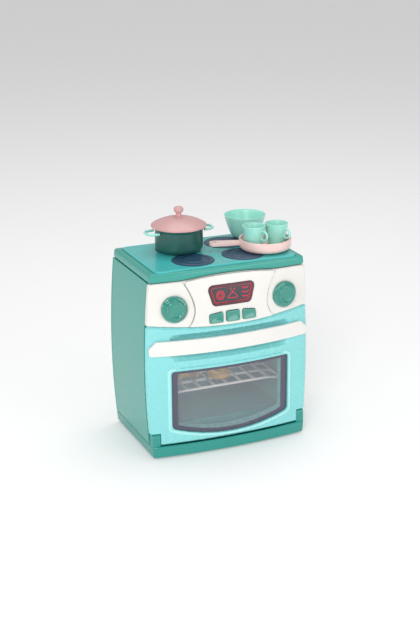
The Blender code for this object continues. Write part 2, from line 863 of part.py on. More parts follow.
def front_bezel():
    def width(height):
        return half_width(height) - SHELL_WALL - FIT_GAP

    outline = panel_outline(width, flat(PLINTH_TOP + FIT_GAP), flat(BEZEL_TOP))
    front = behind(BEZEL_SETBACK)
    bezel = prism("front_bezel", outline, "Y", front, front + BEZEL_THICKNESS, "shell_teal")
    mouth = rectangle(MOUTH_HALF, MOUTH_BOTTOM, MOUTH_TOP, MOUTH_CORNER)
    return cut(bezel, prism("mouth", mouth, "Y", behind(0), back_plane()))


def cavity_front():
    return behind(BEZEL_SETBACK + BEZEL_THICKNESS) + FIT_GAP


def cavity_outline():
    half = MOUTH_HALF + CAVITY_MARGIN
    return rectangle(half, MOUTH_BOTTOM - CAVITY_MARGIN, MOUTH_TOP + CAVITY_MARGIN, MOUTH_CORNER)


def cavity_liner():
    front = cavity_front()
    back = front + CAVITY_DEPTH + CAVITY_WALL
    outer = grown(cavity_outline(), CAVITY_WALL)
    liner = prism("cavity_liner", outer, "Y", front, back, "liner_teal")
    cut(liner, prism("cavity", cavity_outline(), "Y", front - OVERRUN, back - CAVITY_WALL))
    half = MOUTH_HALF + CAVITY_MARGIN
    for side in (-1, 1):
        near = sorted((side * (half - LEDGE_WIDTH), side * (half + CAVITY_WALL / 2)))
        low = (near[0], front + LEDGE_END / 2, LEDGE_HEIGHT - LEDGE_THICKNESS)
        high = (near[1], back - CAVITY_WALL - LEDGE_END, LEDGE_HEIGHT)
        join(liner, block("ledge", low, high))
    opening = rod("lamp_hole", LAMP_RADIUS + FIT_GAP, MOUTH_TOP, MOUTH_TOP + OVERRUN + CAVITY_WALL,
                  SMALL_STEPS)
    opening.location = (0, behind(LAMP_SETBACK), 0)
    return cut(liner, opening)


def lamp_lens():
    roof = MOUTH_TOP + CAVITY_MARGIN
    seat = roof + CAVITY_WALL + FIT_GAP
    profile = [(0, seat + LAMP_HEIGHT), (LAMP_RADIUS, seat + LAMP_HEIGHT)]
    profile += [(LAMP_RADIUS, seat + LAMP_FLANGE), (LAMP_RADIUS + LAMP_FLANGE, seat + LAMP_FLANGE)]
    profile += [(LAMP_RADIUS + LAMP_FLANGE, seat), (LAMP_RADIUS, seat)]
    profile += [(LAMP_RADIUS, roof), (LAMP_RADIUS / 2, roof - LAMP_DROP), (0, roof - LAMP_DROP)]
    lens = turned("lamp_lens", profile, SMALL_STEPS, "lamp_clear")
    lens.location = (0, behind(LAMP_SETBACK), 0)


def back_cover():
    outline = panel_outline(half_width, flat(PLINTH_TOP + FIT_GAP), fascia_high)
    inner = back_plane() - BACK_COVER_THICKNESS
    cover = prism("back_cover", outline, "Y", inner, back_plane(), "shell_teal")
    bay = rectangle(BAY_HALF, BAY_BOTTOM, BAY_BOTTOM + BAY_HEIGHT, BAY_CORNER)
    floor = inner - BAY_DEPTH
    join(cover, prism("bay_walls", grown(bay, BAY_WALL), "Y", floor - BAY_WALL, inner + FIT_GAP))
    cut(cover, prism("bay", bay, "Y", floor, back_plane() + OVERRUN))
    lip = grown(bay, BAY_LEDGE)
    seat = back_plane() - BACK_COVER_THICKNESS / 2
    cut(cover, prism("bay_lip", lip, "Y", seat, back_plane() + OVERRUN))
    for number in range(GRILLE_SLOTS):
        height = SPEAKER_HEIGHT + GRILLE_PITCH * (number - (GRILLE_SLOTS - 1) / 2)
        half = GRILLE_SLOT_WIDTH / 2
        slot = rectangle(GRILLE_HALF, height - half, height + half, half / 2, steps=1)
        cut(cover, prism(f"grille_{number}", slot, "Y", inner - OVERRUN, back_plane() + OVERRUN))
    half = SWITCH_NUB_HALF + SWITCH_TRAVEL / 2 + PLAY
    rise = SWITCH_NUB_HEIGHT / 2 + PLAY
    centre = SWITCH_SPREAD + SWITCH_TRAVEL / 2
    slot = rectangle(half, SWITCH_HEIGHT - rise, SWITCH_HEIGHT + rise, PLAY, centre)
    return cut(cover, prism("switch_slot", slot, "Y", inner - OVERRUN, back_plane() + OVERRUN))


def battery_cover():
    bay = rectangle(BAY_HALF, BAY_BOTTOM, BAY_BOTTOM + BAY_HEIGHT, BAY_CORNER)
    seat = back_plane() - BACK_COVER_THICKNESS / 2 + FIT_GAP
    outline = grown(bay, BAY_LEDGE - FIT_GAP)
    cover = prism("battery_cover", outline, "Y", seat, back_plane(), "shell_teal")
    return join(cover, prism("cover_spigot", grown(bay, -PLAY), "Y", seat - BAY_WALL, seat + FIT_GAP))


def speaker():
    front = back_plane() - BACK_COVER_THICKNESS - FIT_GAP
    profile = [(0, 0), (SPEAKER_RADIUS, 0), (SPEAKER_RADIUS, -SPEAKER_BASKET)]
    profile += [(SPEAKER_MAGNET_RADIUS, -SPEAKER_BASKET * 2), (SPEAKER_MAGNET_RADIUS, -SPEAKER_DEPTH)]
    profile += [(0, -SPEAKER_DEPTH)]
    cone = turned("speaker", profile, FINE_STEPS, "speaker_black")
    cone.rotation_euler = (-math.pi / 2, 0, 0)
    cone.location = (0, front, SPEAKER_HEIGHT)


def power_switch():
    inner = back_plane() - BACK_COVER_THICKNESS - FIT_GAP
    rise = SWITCH_NUB_HEIGHT / 2
    nub = rectangle(SWITCH_NUB_HALF, SWITCH_HEIGHT - rise, SWITCH_HEIGHT + rise, PLAY, SWITCH_SPREAD)
    switch = prism("power_switch", nub, "Y", inner - FIT_GAP, back_plane() - SWITCH_INSET,
                   "speaker_black")
    base = grown(nub, SWITCH_FLANGE)
    return join(switch, prism("switch_base", base, "Y", inner - SWITCH_FLANGE_THICKNESS, inner))


# Deck and hob


def top_deck():
    def low(across):
        return fascia_high(across) + FIT_GAP

    front = bowed((0, DECK_SETBACK, DECK_BOW), (DECK_TOP, DECK_SETBACK, DECK_BOW))
    place = spanning(half_width, low, flat(DECK_TOP))
    deck = curved_slab("top_deck", place, front, flat(back_plane()), WIDE_COLUMNS, 1, "shell_teal")
    soften(deck, DECK_EDGE_RADIUS)
    half = half_width(DECK_TOP) - SHELL_WALL * 2
    hollow_low = (-half, behind(BODY_SETBACK) + FIT_GAP, FASCIA_TOP - OVERRUN)
    hollow_high = (half, back_plane() - SHELL_WALL * 2, DECK_TOP - DECK_SKIN)
    cut(deck, block("deck_hollow", hollow_low, hollow_high))
    seat = prism("hob_seat", hob_outline(0), "Z", DECK_TOP - HOB_RECESS, DECK_TOP + OVERRUN)
    return cut(deck, seat)


def hob_outline(margin):
    return grown(rectangle(HOB_HALF, behind(HOB_FRONT), behind(HOB_BACK), HOB_CORNER), margin)


def burner_places():
    places = []
    for row, setback in (("front", BURNER_FRONT), ("back", BURNER_BACK)):
        for hand, side in (("left", -1), ("right", 1)):
            places.append((f"burner_{row}_{hand}", side * BURNER_SPREAD, behind(setback)))
    return places


def hob_plate():
    bottom = DECK_TOP - HOB_RECESS + FIT_GAP
    plate_body = prism("hob_plate", hob_outline(-FIT_GAP), "Z", bottom, hob_top(), "hob_aqua")
    soften(plate_body, HOB_EDGE_RADIUS)
    for name, x, y in burner_places():
        well = rod(name + "_well", BURNER_RADIUS + FIT_GAP, hob_top() - BURNER_RECESS,
                   hob_top() + OVERRUN, FINE_STEPS)
        well.location = (x, y, 0)
        cut(plate_body, well)
    return plate_body


def burners():
    bottom = hob_top() - BURNER_RECESS + FIT_GAP
    top = burner_top()
    valley = top - BURNER_RING
    for name, x, y in burner_places():
        profile = [(0, valley)]
        for share in reversed(BURNER_RING_SHARES):
            radius = BURNER_RADIUS * share
            half = BURNER_RING_WIDTH / 2
            profile += [(radius - half, valley), (radius, top), (radius + half, valley)]
        profile += [(BURNER_RADIUS, valley), (BURNER_RADIUS, bottom), (0, bottom)]
        burner = turned(name, profile, FINE_STEPS, "burner_navy")
        burner.location = (x, y, 0)


# Control panel


def centre_outline():
    """The raised middle of the fascia: wide at the top, drawn in beside the knobs."""
    half = BODY_WIDTH / 2

    def side_at(height):
        above = height > CENTRE_WAIST_HEIGHT
        flare = CENTRE_TOP_FLARE if above else CENTRE_BOTTOM_FLARE
        reach = FASCIA_TOP - CENTRE_WAIST_HEIGHT if above else CENTRE_WAIST_HEIGHT - FASCIA_BOTTOM
        return CENTRE_WAIST_HALF + flare * (abs(height - CENTRE_WAIST_HEIGHT) / reach) ** FLARE_POWER

    bottom_half = side_at(FASCIA_BOTTOM + CENTRE_MARGIN)
    top_half = side_at(FASCIA_TOP)
    steps = 2 * ARC_STEPS
    corners = []
    for k in range(steps + 1):
        x = bottom_half * (2 * k / steps - 1)
        corners.append((x, fascia_low(x / half) + CENTRE_MARGIN))
    low = corners[-1][1]
    high = fascia_high(top_half / half) - CENTRE_MARGIN
    right = []
    for k in range(1, steps):
        height = low + (high - low) * k / steps
        right.append((side_at(height), height))
    corners += right
    for k in range(steps + 1):
        x = top_half * (1 - 2 * k / steps)
        corners.append((x, fascia_high(x / half) - CENTRE_MARGIN))
    corners += [(-x, height) for x, height in reversed(right)]
    radii = [0] * len(corners)
    for corner in (2 * steps, 3 * steps):
        radii[corner] = CENTRE_CORNER / 2
    return rounded(corners, radii)


def display_outline():
    corners = [(-DISPLAY_BOTTOM_HALF, DISPLAY_BOTTOM), (DISPLAY_BOTTOM_HALF, DISPLAY_BOTTOM)]
    corners += [(DISPLAY_TOP_HALF, DISPLAY_TOP), (-DISPLAY_TOP_HALF, DISPLAY_TOP)]
    return rounded(corners, DISPLAY_CORNER)


def button_outline(place):
    """Place is -1, 0 or 1. The outer buttons' outer top corners are lower."""
    middle = place * BUTTON_PITCH
    half, rise = BUTTON_WIDTH / 2, BUTTON_HEIGHT / 2
    left = BUTTON_DROP if place < 0 else 0
    right = BUTTON_DROP if place > 0 else 0
    corners = [(middle - half, BUTTON_CENTRE - rise), (middle + half, BUTTON_CENTRE - rise)]
    corners += [(middle + half, BUTTON_CENTRE + rise - right), (middle - half, BUTTON_CENTRE + rise - left)]
    return rounded(corners, BUTTON_CORNER)


def front_slots(target, thickness_from, thickness_to):
    """Cuts the display's and the buttons' openings through one layer of the panel."""
    openings = {"display": grown(display_outline(), FIT_GAP)}
    for place in (-1, 0, 1):
        openings[f"button_{place}"] = grown(button_outline(place), FIT_GAP)
    for name, outline in openings.items():
        cut(target, prism(f"{target.name}_{name}_slot", outline, "Y", thickness_from, thickness_to))


def knob_axis():
    """Where a knob's axis meets the fascia, and its lean back and outward turn there."""
    surface = fascia_front()
    step = FIT_GAP
    x, height = KNOB_SPREAD, KNOB_HEIGHT
    across = (surface(x + step, height) - surface(x - step, height)) / (2 * step)
    up = (surface(x, height + step) - surface(x, height - step)) / (2 * step)
    return surface(x, height), math.atan(up), math.atan(across)


def on_knob_axis(obj, side):
    """Moves a piece turned about Z, its outer end up, onto a knob's axis."""
    y, lean, turn = knob_axis()
    obj.rotation_euler = (math.pi / 2 - lean, 0, side * turn)
    obj.location = (side * KNOB_SPREAD, y, KNOB_HEIGHT)
    return obj


def control_fascia():
    front = fascia_front()
    place = spanning(half_width, fascia_low, fascia_high)
    fascia = curved_slab("control_fascia", place, front, flat(behind(BODY_SETBACK)), WIDE_COLUMNS,
                         TALL_ROWS // 2, "ivory")
    soften(fascia, FASCIA_EDGE_RADIUS, 1)

    def inner_width(height):
        return half_width(height) - FASCIA_RIM

    hollow_place = spanning(inner_width, lambda u: fascia_low(u) + FASCIA_SILL,
                            lambda u: fascia_high(u) - FASCIA_RIM)
    hollow = curved_slab("fascia_hollow", hollow_place, shifted(front, FASCIA_SKIN),
                         flat(behind(BODY_SETBACK) + OVERRUN), WIDE_COLUMNS, 2)
    cut(fascia, hollow)
    recess = plate("centre_recess", grown(centre_outline(), FIT_GAP), shifted(front, -OVERRUN),
                   shifted(front, CENTRE_SUNK + FIT_GAP), WIDE_COLUMNS // 2, TALL_ROWS // 2)
    cut(fascia, recess)
    front_slots(fascia, behind(-OVERRUN), behind(BODY_SETBACK))
    for side in (-1, 1):
        boss = rod("boss", BOSS_RADIUS, 0, board_front() - FIT_GAP - front(BOSS_SPREAD, BOSS_HEIGHT)
                   - FASCIA_SKIN + PLAY, SMALL_STEPS)
        boss.rotation_euler = (-math.pi / 2, 0, 0)
        boss.location = (side * BOSS_SPREAD, front(BOSS_SPREAD, BOSS_HEIGHT) + FASCIA_SKIN - PLAY,
                         BOSS_HEIGHT)
        join(fascia, boss)
        radius = KNOB_RADIUS + KNOB_RECESS_MARGIN
        dish = rod("knob_recess", radius, -KNOB_RECESS, OVERRUN, ROUND_STEPS)
        cut(fascia, on_knob_axis(dish, side))
        bore = rod("axle_bore", AXLE_RADIUS + AXLE_PLAY, -FASCIA_SKIN - OVERRUN, OVERRUN, SMALL_STEPS)
        cut(fascia, on_knob_axis(bore, side))
    return fascia


def fascia_centre():
    front = fascia_front()
    centre = plate("fascia_centre", centre_outline(), shifted(front, -CENTRE_PROUD),
                   shifted(front, CENTRE_SUNK), WIDE_COLUMNS // 2, TALL_ROWS // 2, "ivory")
    front_slots(centre, behind(-OVERRUN), behind(BODY_SETBACK))
    return centre


def display():
    front = shifted(fascia_front(), -CENTRE_PROUD - DISPLAY_PROUD)
    frame = plate("display_frame", display_outline(), front, shifted(front, DISPLAY_DEPTH), 8, 3,
                  "display_red")
    inner = grown(display_outline(), -DISPLAY_RIM)
    well = plate("display_well", inner, shifted(front, -OVERRUN), shifted(front, DISPLAY_WELL), 8, 3)
    cut(frame, well)
    pane_back = shifted(front, DISPLAY_WELL - FIT_GAP)
    plate("display_window", grown(inner, -FIT_GAP), shifted(pane_back, -DISPLAY_PANE), pane_back, 8, 3,
          "display_navy")


def flange_setback():
    """The foremost place for the button flanges: behind the skin at the outer buttons."""
    edge = BUTTON_PITCH + BUTTON_WIDTH / 2 + BUTTON_FLANGE
    high = BUTTON_CENTRE + BUTTON_HEIGHT / 2 + BUTTON_FLANGE
    return fascia_front()(edge, high) + FASCIA_SKIN + FIT_GAP


def buttons():
    flange = flange_setback()
    for name, place in (("button_left", -1), ("button_middle", 0), ("button_right", 1)):
        outline = button_outline(place)
        front = shifted(fascia_front(), -CENTRE_PROUD - BUTTON_PROUD)
        button = plate(name, outline, front, flat(flange + FIT_GAP), 4, 3, "control_teal")
        base = grown(outline, BUTTON_FLANGE)
        join(button, prism(name + "_flange", base, "Y", flange, flange + BUTTON_FLANGE_THICKNESS))


def pad_front():
    return flange_setback() + BUTTON_FLANGE_THICKNESS + BUTTON_TRAVEL + FIT_GAP


def board_front():
    return pad_front() + PAD_THICKNESS + FIT_GAP


def button_pad_and_board():
    low, high = BUTTON_CENTRE - PAD_HEIGHT / 2, BUTTON_CENTRE + PAD_HEIGHT / 2
    pad = rectangle(PAD_HALF, low, high, BUTTON_CORNER)
    prism("button_pad", pad, "Y", pad_front(), pad_front() + PAD_THICKNESS, "rubber_grey")
    board = rectangle(BOARD_HALF, BOARD_BOTTOM, BOARD_TOP, BUTTON_CORNER)
    front = board_front()
    prism("circuit_board", board, "Y", front, front + BOARD_THICKNESS, "board_green")


def knobs():
    seat = FIT_GAP - KNOB_RECESS
    top = KNOB_PROUD
    for hand, side in (("left", -1), ("right", 1)):
        floor, rise, lip, shoulder, root = (KNOB_GRIP_RADIUS * share for share in KNOB_DISH_SHARES)
        profile = [(0, top - KNOB_DISH), (floor, top - KNOB_DISH), (rise, top), (lip, top)]
        profile += [(shoulder, top - KNOB_DISH), (root, KNOB_SKIRT)]
        across, up = KNOB_SKIRT_SHARES
        profile += [(KNOB_RADIUS * across, KNOB_SKIRT * up), (KNOB_RADIUS, KNOB_SKIRT / 2)]
        profile += [(KNOB_RADIUS, seat), (0, seat)]
        knob = turned(f"knob_{hand}", profile, ROUND_STEPS, "control_teal")
        on_knob_axis(knob, side)
        tail, clip = -AXLE_TAIL, -FASCIA_SKIN - PLAY * 2
        clip_end = clip - AXLE_CLIP_THICKNESS
        profile = [(0, seat - FIT_GAP), (AXLE_RADIUS, seat - FIT_GAP), (AXLE_RADIUS, clip)]
        profile += [(AXLE_CLIP_RADIUS, clip), (AXLE_CLIP_RADIUS, clip_end), (AXLE_RADIUS, clip_end)]
        profile += [(AXLE_RADIUS, tail), (0, tail)]
        axle = turned(f"knob_axle_{hand}", profile, SMALL_STEPS, "white")
        on_knob_axis(axle, side)


# Door


def window_outline():
    return smiling(WINDOW_HALF, WINDOW_BOTTOM, WINDOW_SMILE, WINDOW_TOP, WINDOW_CORNER, SIGHT_CORNER)


def sight_outline():
    return smiling(SIGHT_HALF, SIGHT_BOTTOM, SIGHT_SMILE, SIGHT_TOP, SIGHT_CORNER, SIGHT_CORNER)


def scoop():
    """The finger hollow behind the handle, dished in both directions."""
    front = door_front()
    middle, half_height = (SCOOP_TOP + SCOOP_BOTTOM) / 2, (SCOOP_TOP - SCOOP_BOTTOM) / 2

    def floor(x, height):
        end = 1 - min(1, abs(x) / SCOOP_HALF) ** SCOOP_END_POWER
        dish = 1 - min(1, abs(height - middle) / half_height) ** SCOOP_DISH_POWER
        return front(x, height) - SCOOP_LIP + (SCOOP_DEPTH + SCOOP_LIP) * end * dish

    def place(across, up):
        x = SCOOP_HALF * math.sin(across * math.pi / 2)
        return x, middle - half_height * math.cos(up * math.pi)

    return curved_slab("scoop", place, shifted(front, -OVERRUN), floor, WIDE_COLUMNS, TALL_ROWS + 2)


def door_frame():
    front = door_front()
    place = spanning(half_width, flat(DOOR_BOTTOM), door_high)
    door = curved_slab("door_frame", place, front, flat(door_back()), WIDE_COLUMNS, TALL_ROWS,
                       "door_aqua")
    soften(door, DOOR_EDGE_RADIUS, 1)
    bead = plate("window_bead", grown(window_outline(), BEAD_WIDTH), shifted(front, -BEAD_PROUD),
                 shifted(front, BEAD_PROUD), WIDE_COLUMNS // 2, TALL_ROWS // 2)
    join(door, bead)
    recess = plate("window_recess", window_outline(), shifted(front, -OVERRUN),
                   shifted(front, WINDOW_RECESS), WIDE_COLUMNS // 2, TALL_ROWS // 2)
    cut(door, recess)
    cut(door, prism("sight", sight_outline(), "Y", behind(-OVERRUN), door_back() + OVERRUN))
    cut(door, scoop())
    seat = door_panel("panel_seat", DOOR_PANEL_RIM, OVERRUN, DOOR_PANEL_THICKNESS + FIT_GAP)
    cut(door, seat)
    for side in (-1, 1):
        near = sorted((side * DOOR_NOTCH_HALF, side * BODY_WIDTH))
        low = (near[0], behind(-OVERRUN), DOOR_BOTTOM - OVERRUN)
        high = (near[1], door_back() + OVERRUN, DOOR_NOTCH_TOP)
        cut(door, block("ear_notch", low, high))
        deep = side * (DOOR_NOTCH_HALF - PIN_ENGAGEMENT - FIT_GAP)
        bore = pin_rod("door_bore", PIN_RADIUS + FIT_GAP, deep, side * (DOOR_NOTCH_HALF + OVERRUN))
        cut(door, bore)
    return door


def door_panel(name, rim, past_back, thickness, colour=None):
    """The flat panel in the door's back, or the seat cut for it."""

    def width(height):
        return half_width(height) - rim

    def low(across):
        return DOOR_PANEL_BOTTOM + DOOR_PANEL_SMILE * across**2 + rim - DOOR_PANEL_RIM

    def high(across):
        return door_high(across) - rim

    outline = panel_outline(width, low, high)
    return prism(name, outline, "Y", door_back() - thickness, door_back() + past_back, colour)


def door_inner_panel():
    panel = door_panel("door_inner_panel", DOOR_PANEL_RIM + FIT_GAP, 0, DOOR_PANEL_THICKNESS,
                       "door_aqua")
    opening = grown(sight_outline(), FIT_GAP)
    return cut(panel, prism("panel_sight", opening, "Y", behind(0), back_plane()))


def door_window():
    front = door_front()
    return plate("door_window", grown(window_outline(), -FIT_GAP), shifted(front, WINDOW_SETBACK),
                 shifted(front, WINDOW_RECESS - FIT_GAP), WIDE_COLUMNS // 2, TALL_ROWS // 2, "smoked")


def door_handle():
    """A bowed bar across the door, its upper ends chamfered, over the finger hollow."""
    corners = [(-HANDLE_HALF, HANDLE_BOTTOM), (HANDLE_HALF, HANDLE_BOTTOM)]
    corners += [(HANDLE_HALF, HANDLE_TOP - HANDLE_CHAMFER), (HANDLE_HALF - HANDLE_CHAMFER, HANDLE_TOP)]
    corners += [(HANDLE_CHAMFER - HANDLE_HALF, HANDLE_TOP), (-HANDLE_HALF, HANDLE_TOP - HANDLE_CHAMFER)]
    outline = rounded(corners, HANDLE_CORNER)
    level = (0, -HANDLE_PROUD, FASCIA_BOTTOM_BOW)
    front = bowed(level, (HANDLE_TOP, -HANDLE_PROUD, FASCIA_BOTTOM_BOW))
    bar = plate("door_handle", outline, front, shifted(door_front(), -FIT_GAP), WIDE_COLUMNS, 2, "white")
    return soften(bar, HANDLE_EDGE_RADIUS, 1)


# Oven rack and food


def oven_rack():
    """A grid of flat bars, its ends stepped down onto the ledges of the cavity."""
    half = MOUTH_HALF + CAVITY_MARGIN - RACK_SIDE_PLAY
    front = cavity_front() + RACK_FRONT_GAP
    base = LEDGE_HEIGHT + FIT_GAP
    bar = RACK_BAR / 2
    xs = []
    for k in range(RACK_CELLS + 1):
        x = half * (2 * k / RACK_CELLS - 1) * (1 - bar / half)
        xs += [x - bar, x + bar]
    ys = []
    for k in range(RACK_RAILS + 1):
        y = front + bar + (RACK_LENGTH - RACK_BAR) * k / RACK_RAILS
        ys += [y - bar, y + bar]
    maker = bmesh.new()
    grid = [[maker.verts.new((x, y, base + (0 if abs(x) > half - LEDGE_WIDTH else RACK_DROP)))
             for x in xs] for y in ys]
    for j in range(len(ys) - 1):
        for i in range(len(xs) - 1):
            if i % 2 == 0 or j % 2 == 0:
                maker.faces.new((grid[j][i], grid[j][i + 1], grid[j + 1][i + 1], grid[j + 1][i]))
    rack = add_object("oven_rack", maker, "white")
    thicken = rack.modifiers.new("bars", "SOLIDIFY")
    thicken.thickness = RACK_THICKNESS
    thicken.offset = 1
    return rack


def rack_top():
    return LEDGE_HEIGHT + FIT_GAP + RACK_DROP + RACK_THICKNESS


def food_roll():
    """A crescent roll, fat in the middle and stepped along its curve."""
    centres, radii = [], []
    for k in range(ROLL_STEPS + 1):
        part = 2 * k / ROLL_STEPS - 1
        angle = math.pi / 2 + ROLL_SWEEP * part
        centres.append((ROLL_REACH * math.cos(angle), ROLL_REACH * math.sin(angle), 0))
        swell = ROLL_END_RADIUS + (ROLL_RADIUS - ROLL_END_RADIUS) * (1 - part**2)
        radii.append(swell * (1 if k % 2 else ROLL_STEP_SHARE))
    roll = swept("food_roll", centres, radii, ROLL_SIDES, "crust")
    roll.location = (ROLL_SPREAD, behind(ROLL_SETBACK), rack_top() + ROLL_RADIUS + FIT_GAP)
    return roll


def food_ring():
    """A ring bun, flattened a little where it lies."""
    profile = []
    half_height = RING_TUBE * RING_HEIGHT_SHARE
    for k in range(RING_SIDES):
        angle = math.pi / 2 - 2 * math.pi * k / RING_SIDES
        height = half_height * math.sin(angle)
        profile.append((RING_RADIUS + RING_TUBE * math.cos(angle), height))
    bun = turned("food_ring", profile, FINE_STEPS, "crust")
    bun.location = (RING_SPREAD, behind(RING_SETBACK), rack_top() + half_height + FIT_GAP)
    return bun


# Cookware


def pot():
    outer, wall = POT_RADIUS, POT_WALL
    top = POT_HEIGHT
    profile = [(outer - wall, top), (outer + POT_LIP, top), (outer + POT_LIP, top - wall)]
    profile += [(outer, top - wall * 2), (outer, wall * 2), (POT_FOOT_RADIUS, 0), (0, 0)]
    inside = [(0, wall), (POT_FOOT_RADIUS - wall, wall), (outer - wall, wall * VESSEL_FLOOR_SHARE)]
    pot_body = turned("pot", inside + profile, ROUND_STEPS, "pot_green")
    pot_body.location = (POT_SPREAD, behind(POT_SETBACK), stove_top())
    return pot_body


def pot_ears():
    """Two loop handles on the pot's sides, just under the rim."""
    height = stove_top() + POT_HEIGHT - EAR_LOOP_DROP
    for hand, side in (("left", -1), ("right", 1)):
        inner = POT_RADIUS + FIT_GAP
        near = math.sqrt(inner**2 - EAR_LOOP_HALF**2)
        end, end_half = inner + EAR_LOOP_REACH, EAR_LOOP_HALF * EAR_LOOP_END_SHARE
        shoulder = inner + EAR_LOOP_REACH * EAR_LOOP_SHOULDER_SHARE
        outline = [(near, -EAR_LOOP_HALF), (shoulder, -EAR_LOOP_HALF), (end, -end_half)]
        outline += [(end, end_half), (shoulder, EAR_LOOP_HALF), (near, EAR_LOOP_HALF)]
        for k in range(1, EAR_STEPS):
            angle = math.asin(EAR_LOOP_HALF / inner) * (1 - 2 * k / EAR_STEPS)
            outline.append((inner * math.cos(angle), inner * math.sin(angle)))
        loop = prism(f"pot_ear_{hand}", outline, "Z", 0, EAR_LOOP_THICKNESS, "mint")
        hole_half = EAR_LOOP_HALF - EAR_LOOP_BAR
        root, tip = inner + EAR_LOOP_BAR * EAR_HOLE_INNER_SHARE, end - EAR_LOOP_BAR
        tip_half = hole_half * EAR_HOLE_END_SHARE
        corners = [(root, -hole_half), (tip, -tip_half), (tip, tip_half), (root, hole_half)]
        hole = prism(f"ear_hole_{hand}", corners, "Z", -OVERRUN, EAR_LOOP_THICKNESS + OVERRUN)
        cut(loop, hole)
        for piece in (loop, hole):
            piece.rotation_euler = (0, 0, 0 if side > 0 else math.pi)
            piece.location = (POT_SPREAD, behind(POT_SETBACK), height)


def pot_lid():
    """A domed lid with a knob and a spigot that drops inside the pot's mouth."""
    seat = stove_top() + POT_HEIGHT + FIT_GAP
    neck = LID_RISE
    top = LID_RISE + LID_KNOB_HEIGHT
    spigot = POT_RADIUS - POT_WALL - PLAY
    profile = [(0, top)]
    for across, down in LID_KNOB_SHARES:
        profile.append((LID_KNOB_RADIUS * across, top - LID_KNOB_HEIGHT * down))
    profile += [(LID_KNOB_NECK, neck + LID_WALL), (LID_KNOB_NECK * LID_NECK_FOOT_SHARE, neck)]
    for share in LID_DOME_SHARES:
        profile.append((LID_RADIUS * share, LID_WALL + (LID_RISE - LID_WALL) * (1 - share**2)))
    profile += [(LID_RADIUS, LID_WALL), (LID_RADIUS, 0), (spigot, 0), (spigot, -LID_SPIGOT)]
    profile += [(spigot - LID_WALL, -LID_SPIGOT), (spigot - LID_WALL, 0)]
    inside_rise = (LID_RISE - LID_WALL) * LID_INSIDE_SHARE
    for share in LID_UNDERSIDE_SHARES:
        profile.append((LID_RADIUS * share, inside_rise * (1 - share**2)))
    profile.append((0, inside_rise))
    lid = turned("pot_lid", profile, ROUND_STEPS, "lid_pink")
    lid.location = (POT_SPREAD, behind(POT_SETBACK), seat)
    return lid


def frying_pan():
    outer, wall, top = PAN_RADIUS, PAN_WALL, PAN_HEIGHT
    inside = [(0, wall), (PAN_FOOT_RADIUS - wall, wall), (outer - wall, wall * VESSEL_FLOOR_SHARE)]
    profile = [(outer - wall, top), (outer, top), (outer, wall * 2), (PAN_FOOT_RADIUS, 0), (0, 0)]
    pan = turned("frying_pan", inside + profile, ROUND_STEPS, "pan_pink")
    pan.location = (PAN_SPREAD, behind(PAN_SETBACK), stove_top())
    near, far = PAN_RADIUS - wall / 2, PAN_RADIUS + PAN_HANDLE_LENGTH
    half, end_half = PAN_HANDLE_WIDTH / 2, PAN_HANDLE_END_WIDTH / 2
    corners = [(near, -half), (far, -end_half), (far, end_half), (near, half)]
    end_radius = end_half * PAN_HANDLE_ROUND_SHARE
    outline = rounded(corners, [0, end_radius, end_radius, 0])
    handle = prism("pan_handle", outline, "Z", PAN_HANDLE_RISE, PAN_HANDLE_RISE + PAN_HANDLE_THICKNESS)
    hole = rod("pan_hole", PAN_HANDLE_HOLE, PAN_HANDLE_RISE - OVERRUN,
               PAN_HANDLE_RISE + PAN_HANDLE_THICKNESS + OVERRUN, SMALL_STEPS)
    cosine, sine = math.cos(PAN_HANDLE_TURN), math.sin(PAN_HANDLE_TURN)
    reach = far - end_half
    handle.rotation_euler = (0, 0, PAN_HANDLE_TURN)
    handle.location = pan.location
    hole.location = (pan.location.x + reach * cosine, pan.location.y + reach * sine, pan.location.z)
    join(pan, handle)
    return cut(pan, hole)


def cups():
    """Two tapered cups with a small ring handle, standing in the pan."""
    wall, top = CUP_WALL, CUP_HEIGHT
    spread = CUP_RADIUS + CUP_GAP / 2
    for hand, side in (("left", -1), ("right", 1)):
        floor = wall * CUP_FLOOR_SHARE
        profile = [(0, floor), (CUP_FOOT_RADIUS - wall, floor), (CUP_RADIUS - wall, top)]
        profile += [(CUP_RADIUS, top), (CUP_FOOT_RADIUS, 0), (0, 0)]
        cup = turned(f"cup_{hand}", profile, FINE_STEPS, "mint")
        cup.location = (PAN_SPREAD + side * spread, behind(PAN_SETBACK),
                        stove_top() + PAN_WALL + FIT_GAP)
        ring = []
        for k in range(LOOP_SIDES):
            angle = math.pi / 2 - math.pi * (2 * k + 1) / LOOP_SIDES
            ring.append((CUP_LOOP_RADIUS + CUP_LOOP_TUBE * math.cos(angle),
                         CUP_LOOP_TUBE * math.sin(angle)))
        loop = turned(f"cup_loop_{hand}", ring, SMALL_STEPS)
        turn = CUP_TURN
        reach = (CUP_RADIUS + CUP_FOOT_RADIUS) / 2 + CUP_LOOP_RADIUS * CUP_LOOP_OUT_SHARE
        loop.rotation_euler = (math.pi / 2, 0, turn)
        loop.location = (cup.location.x + reach * math.cos(turn), cup.location.y + reach * math.sin(turn),
                         cup.location.z + top * CUP_LOOP_UP_SHARE)
        join(cup, loop)
        core = rod(f"cup_core_{hand}", CUP_FOOT_RADIUS - wall, floor, top + OVERRUN, SMALL_STEPS)
        core.location = cup.location
        cut(cup, core)


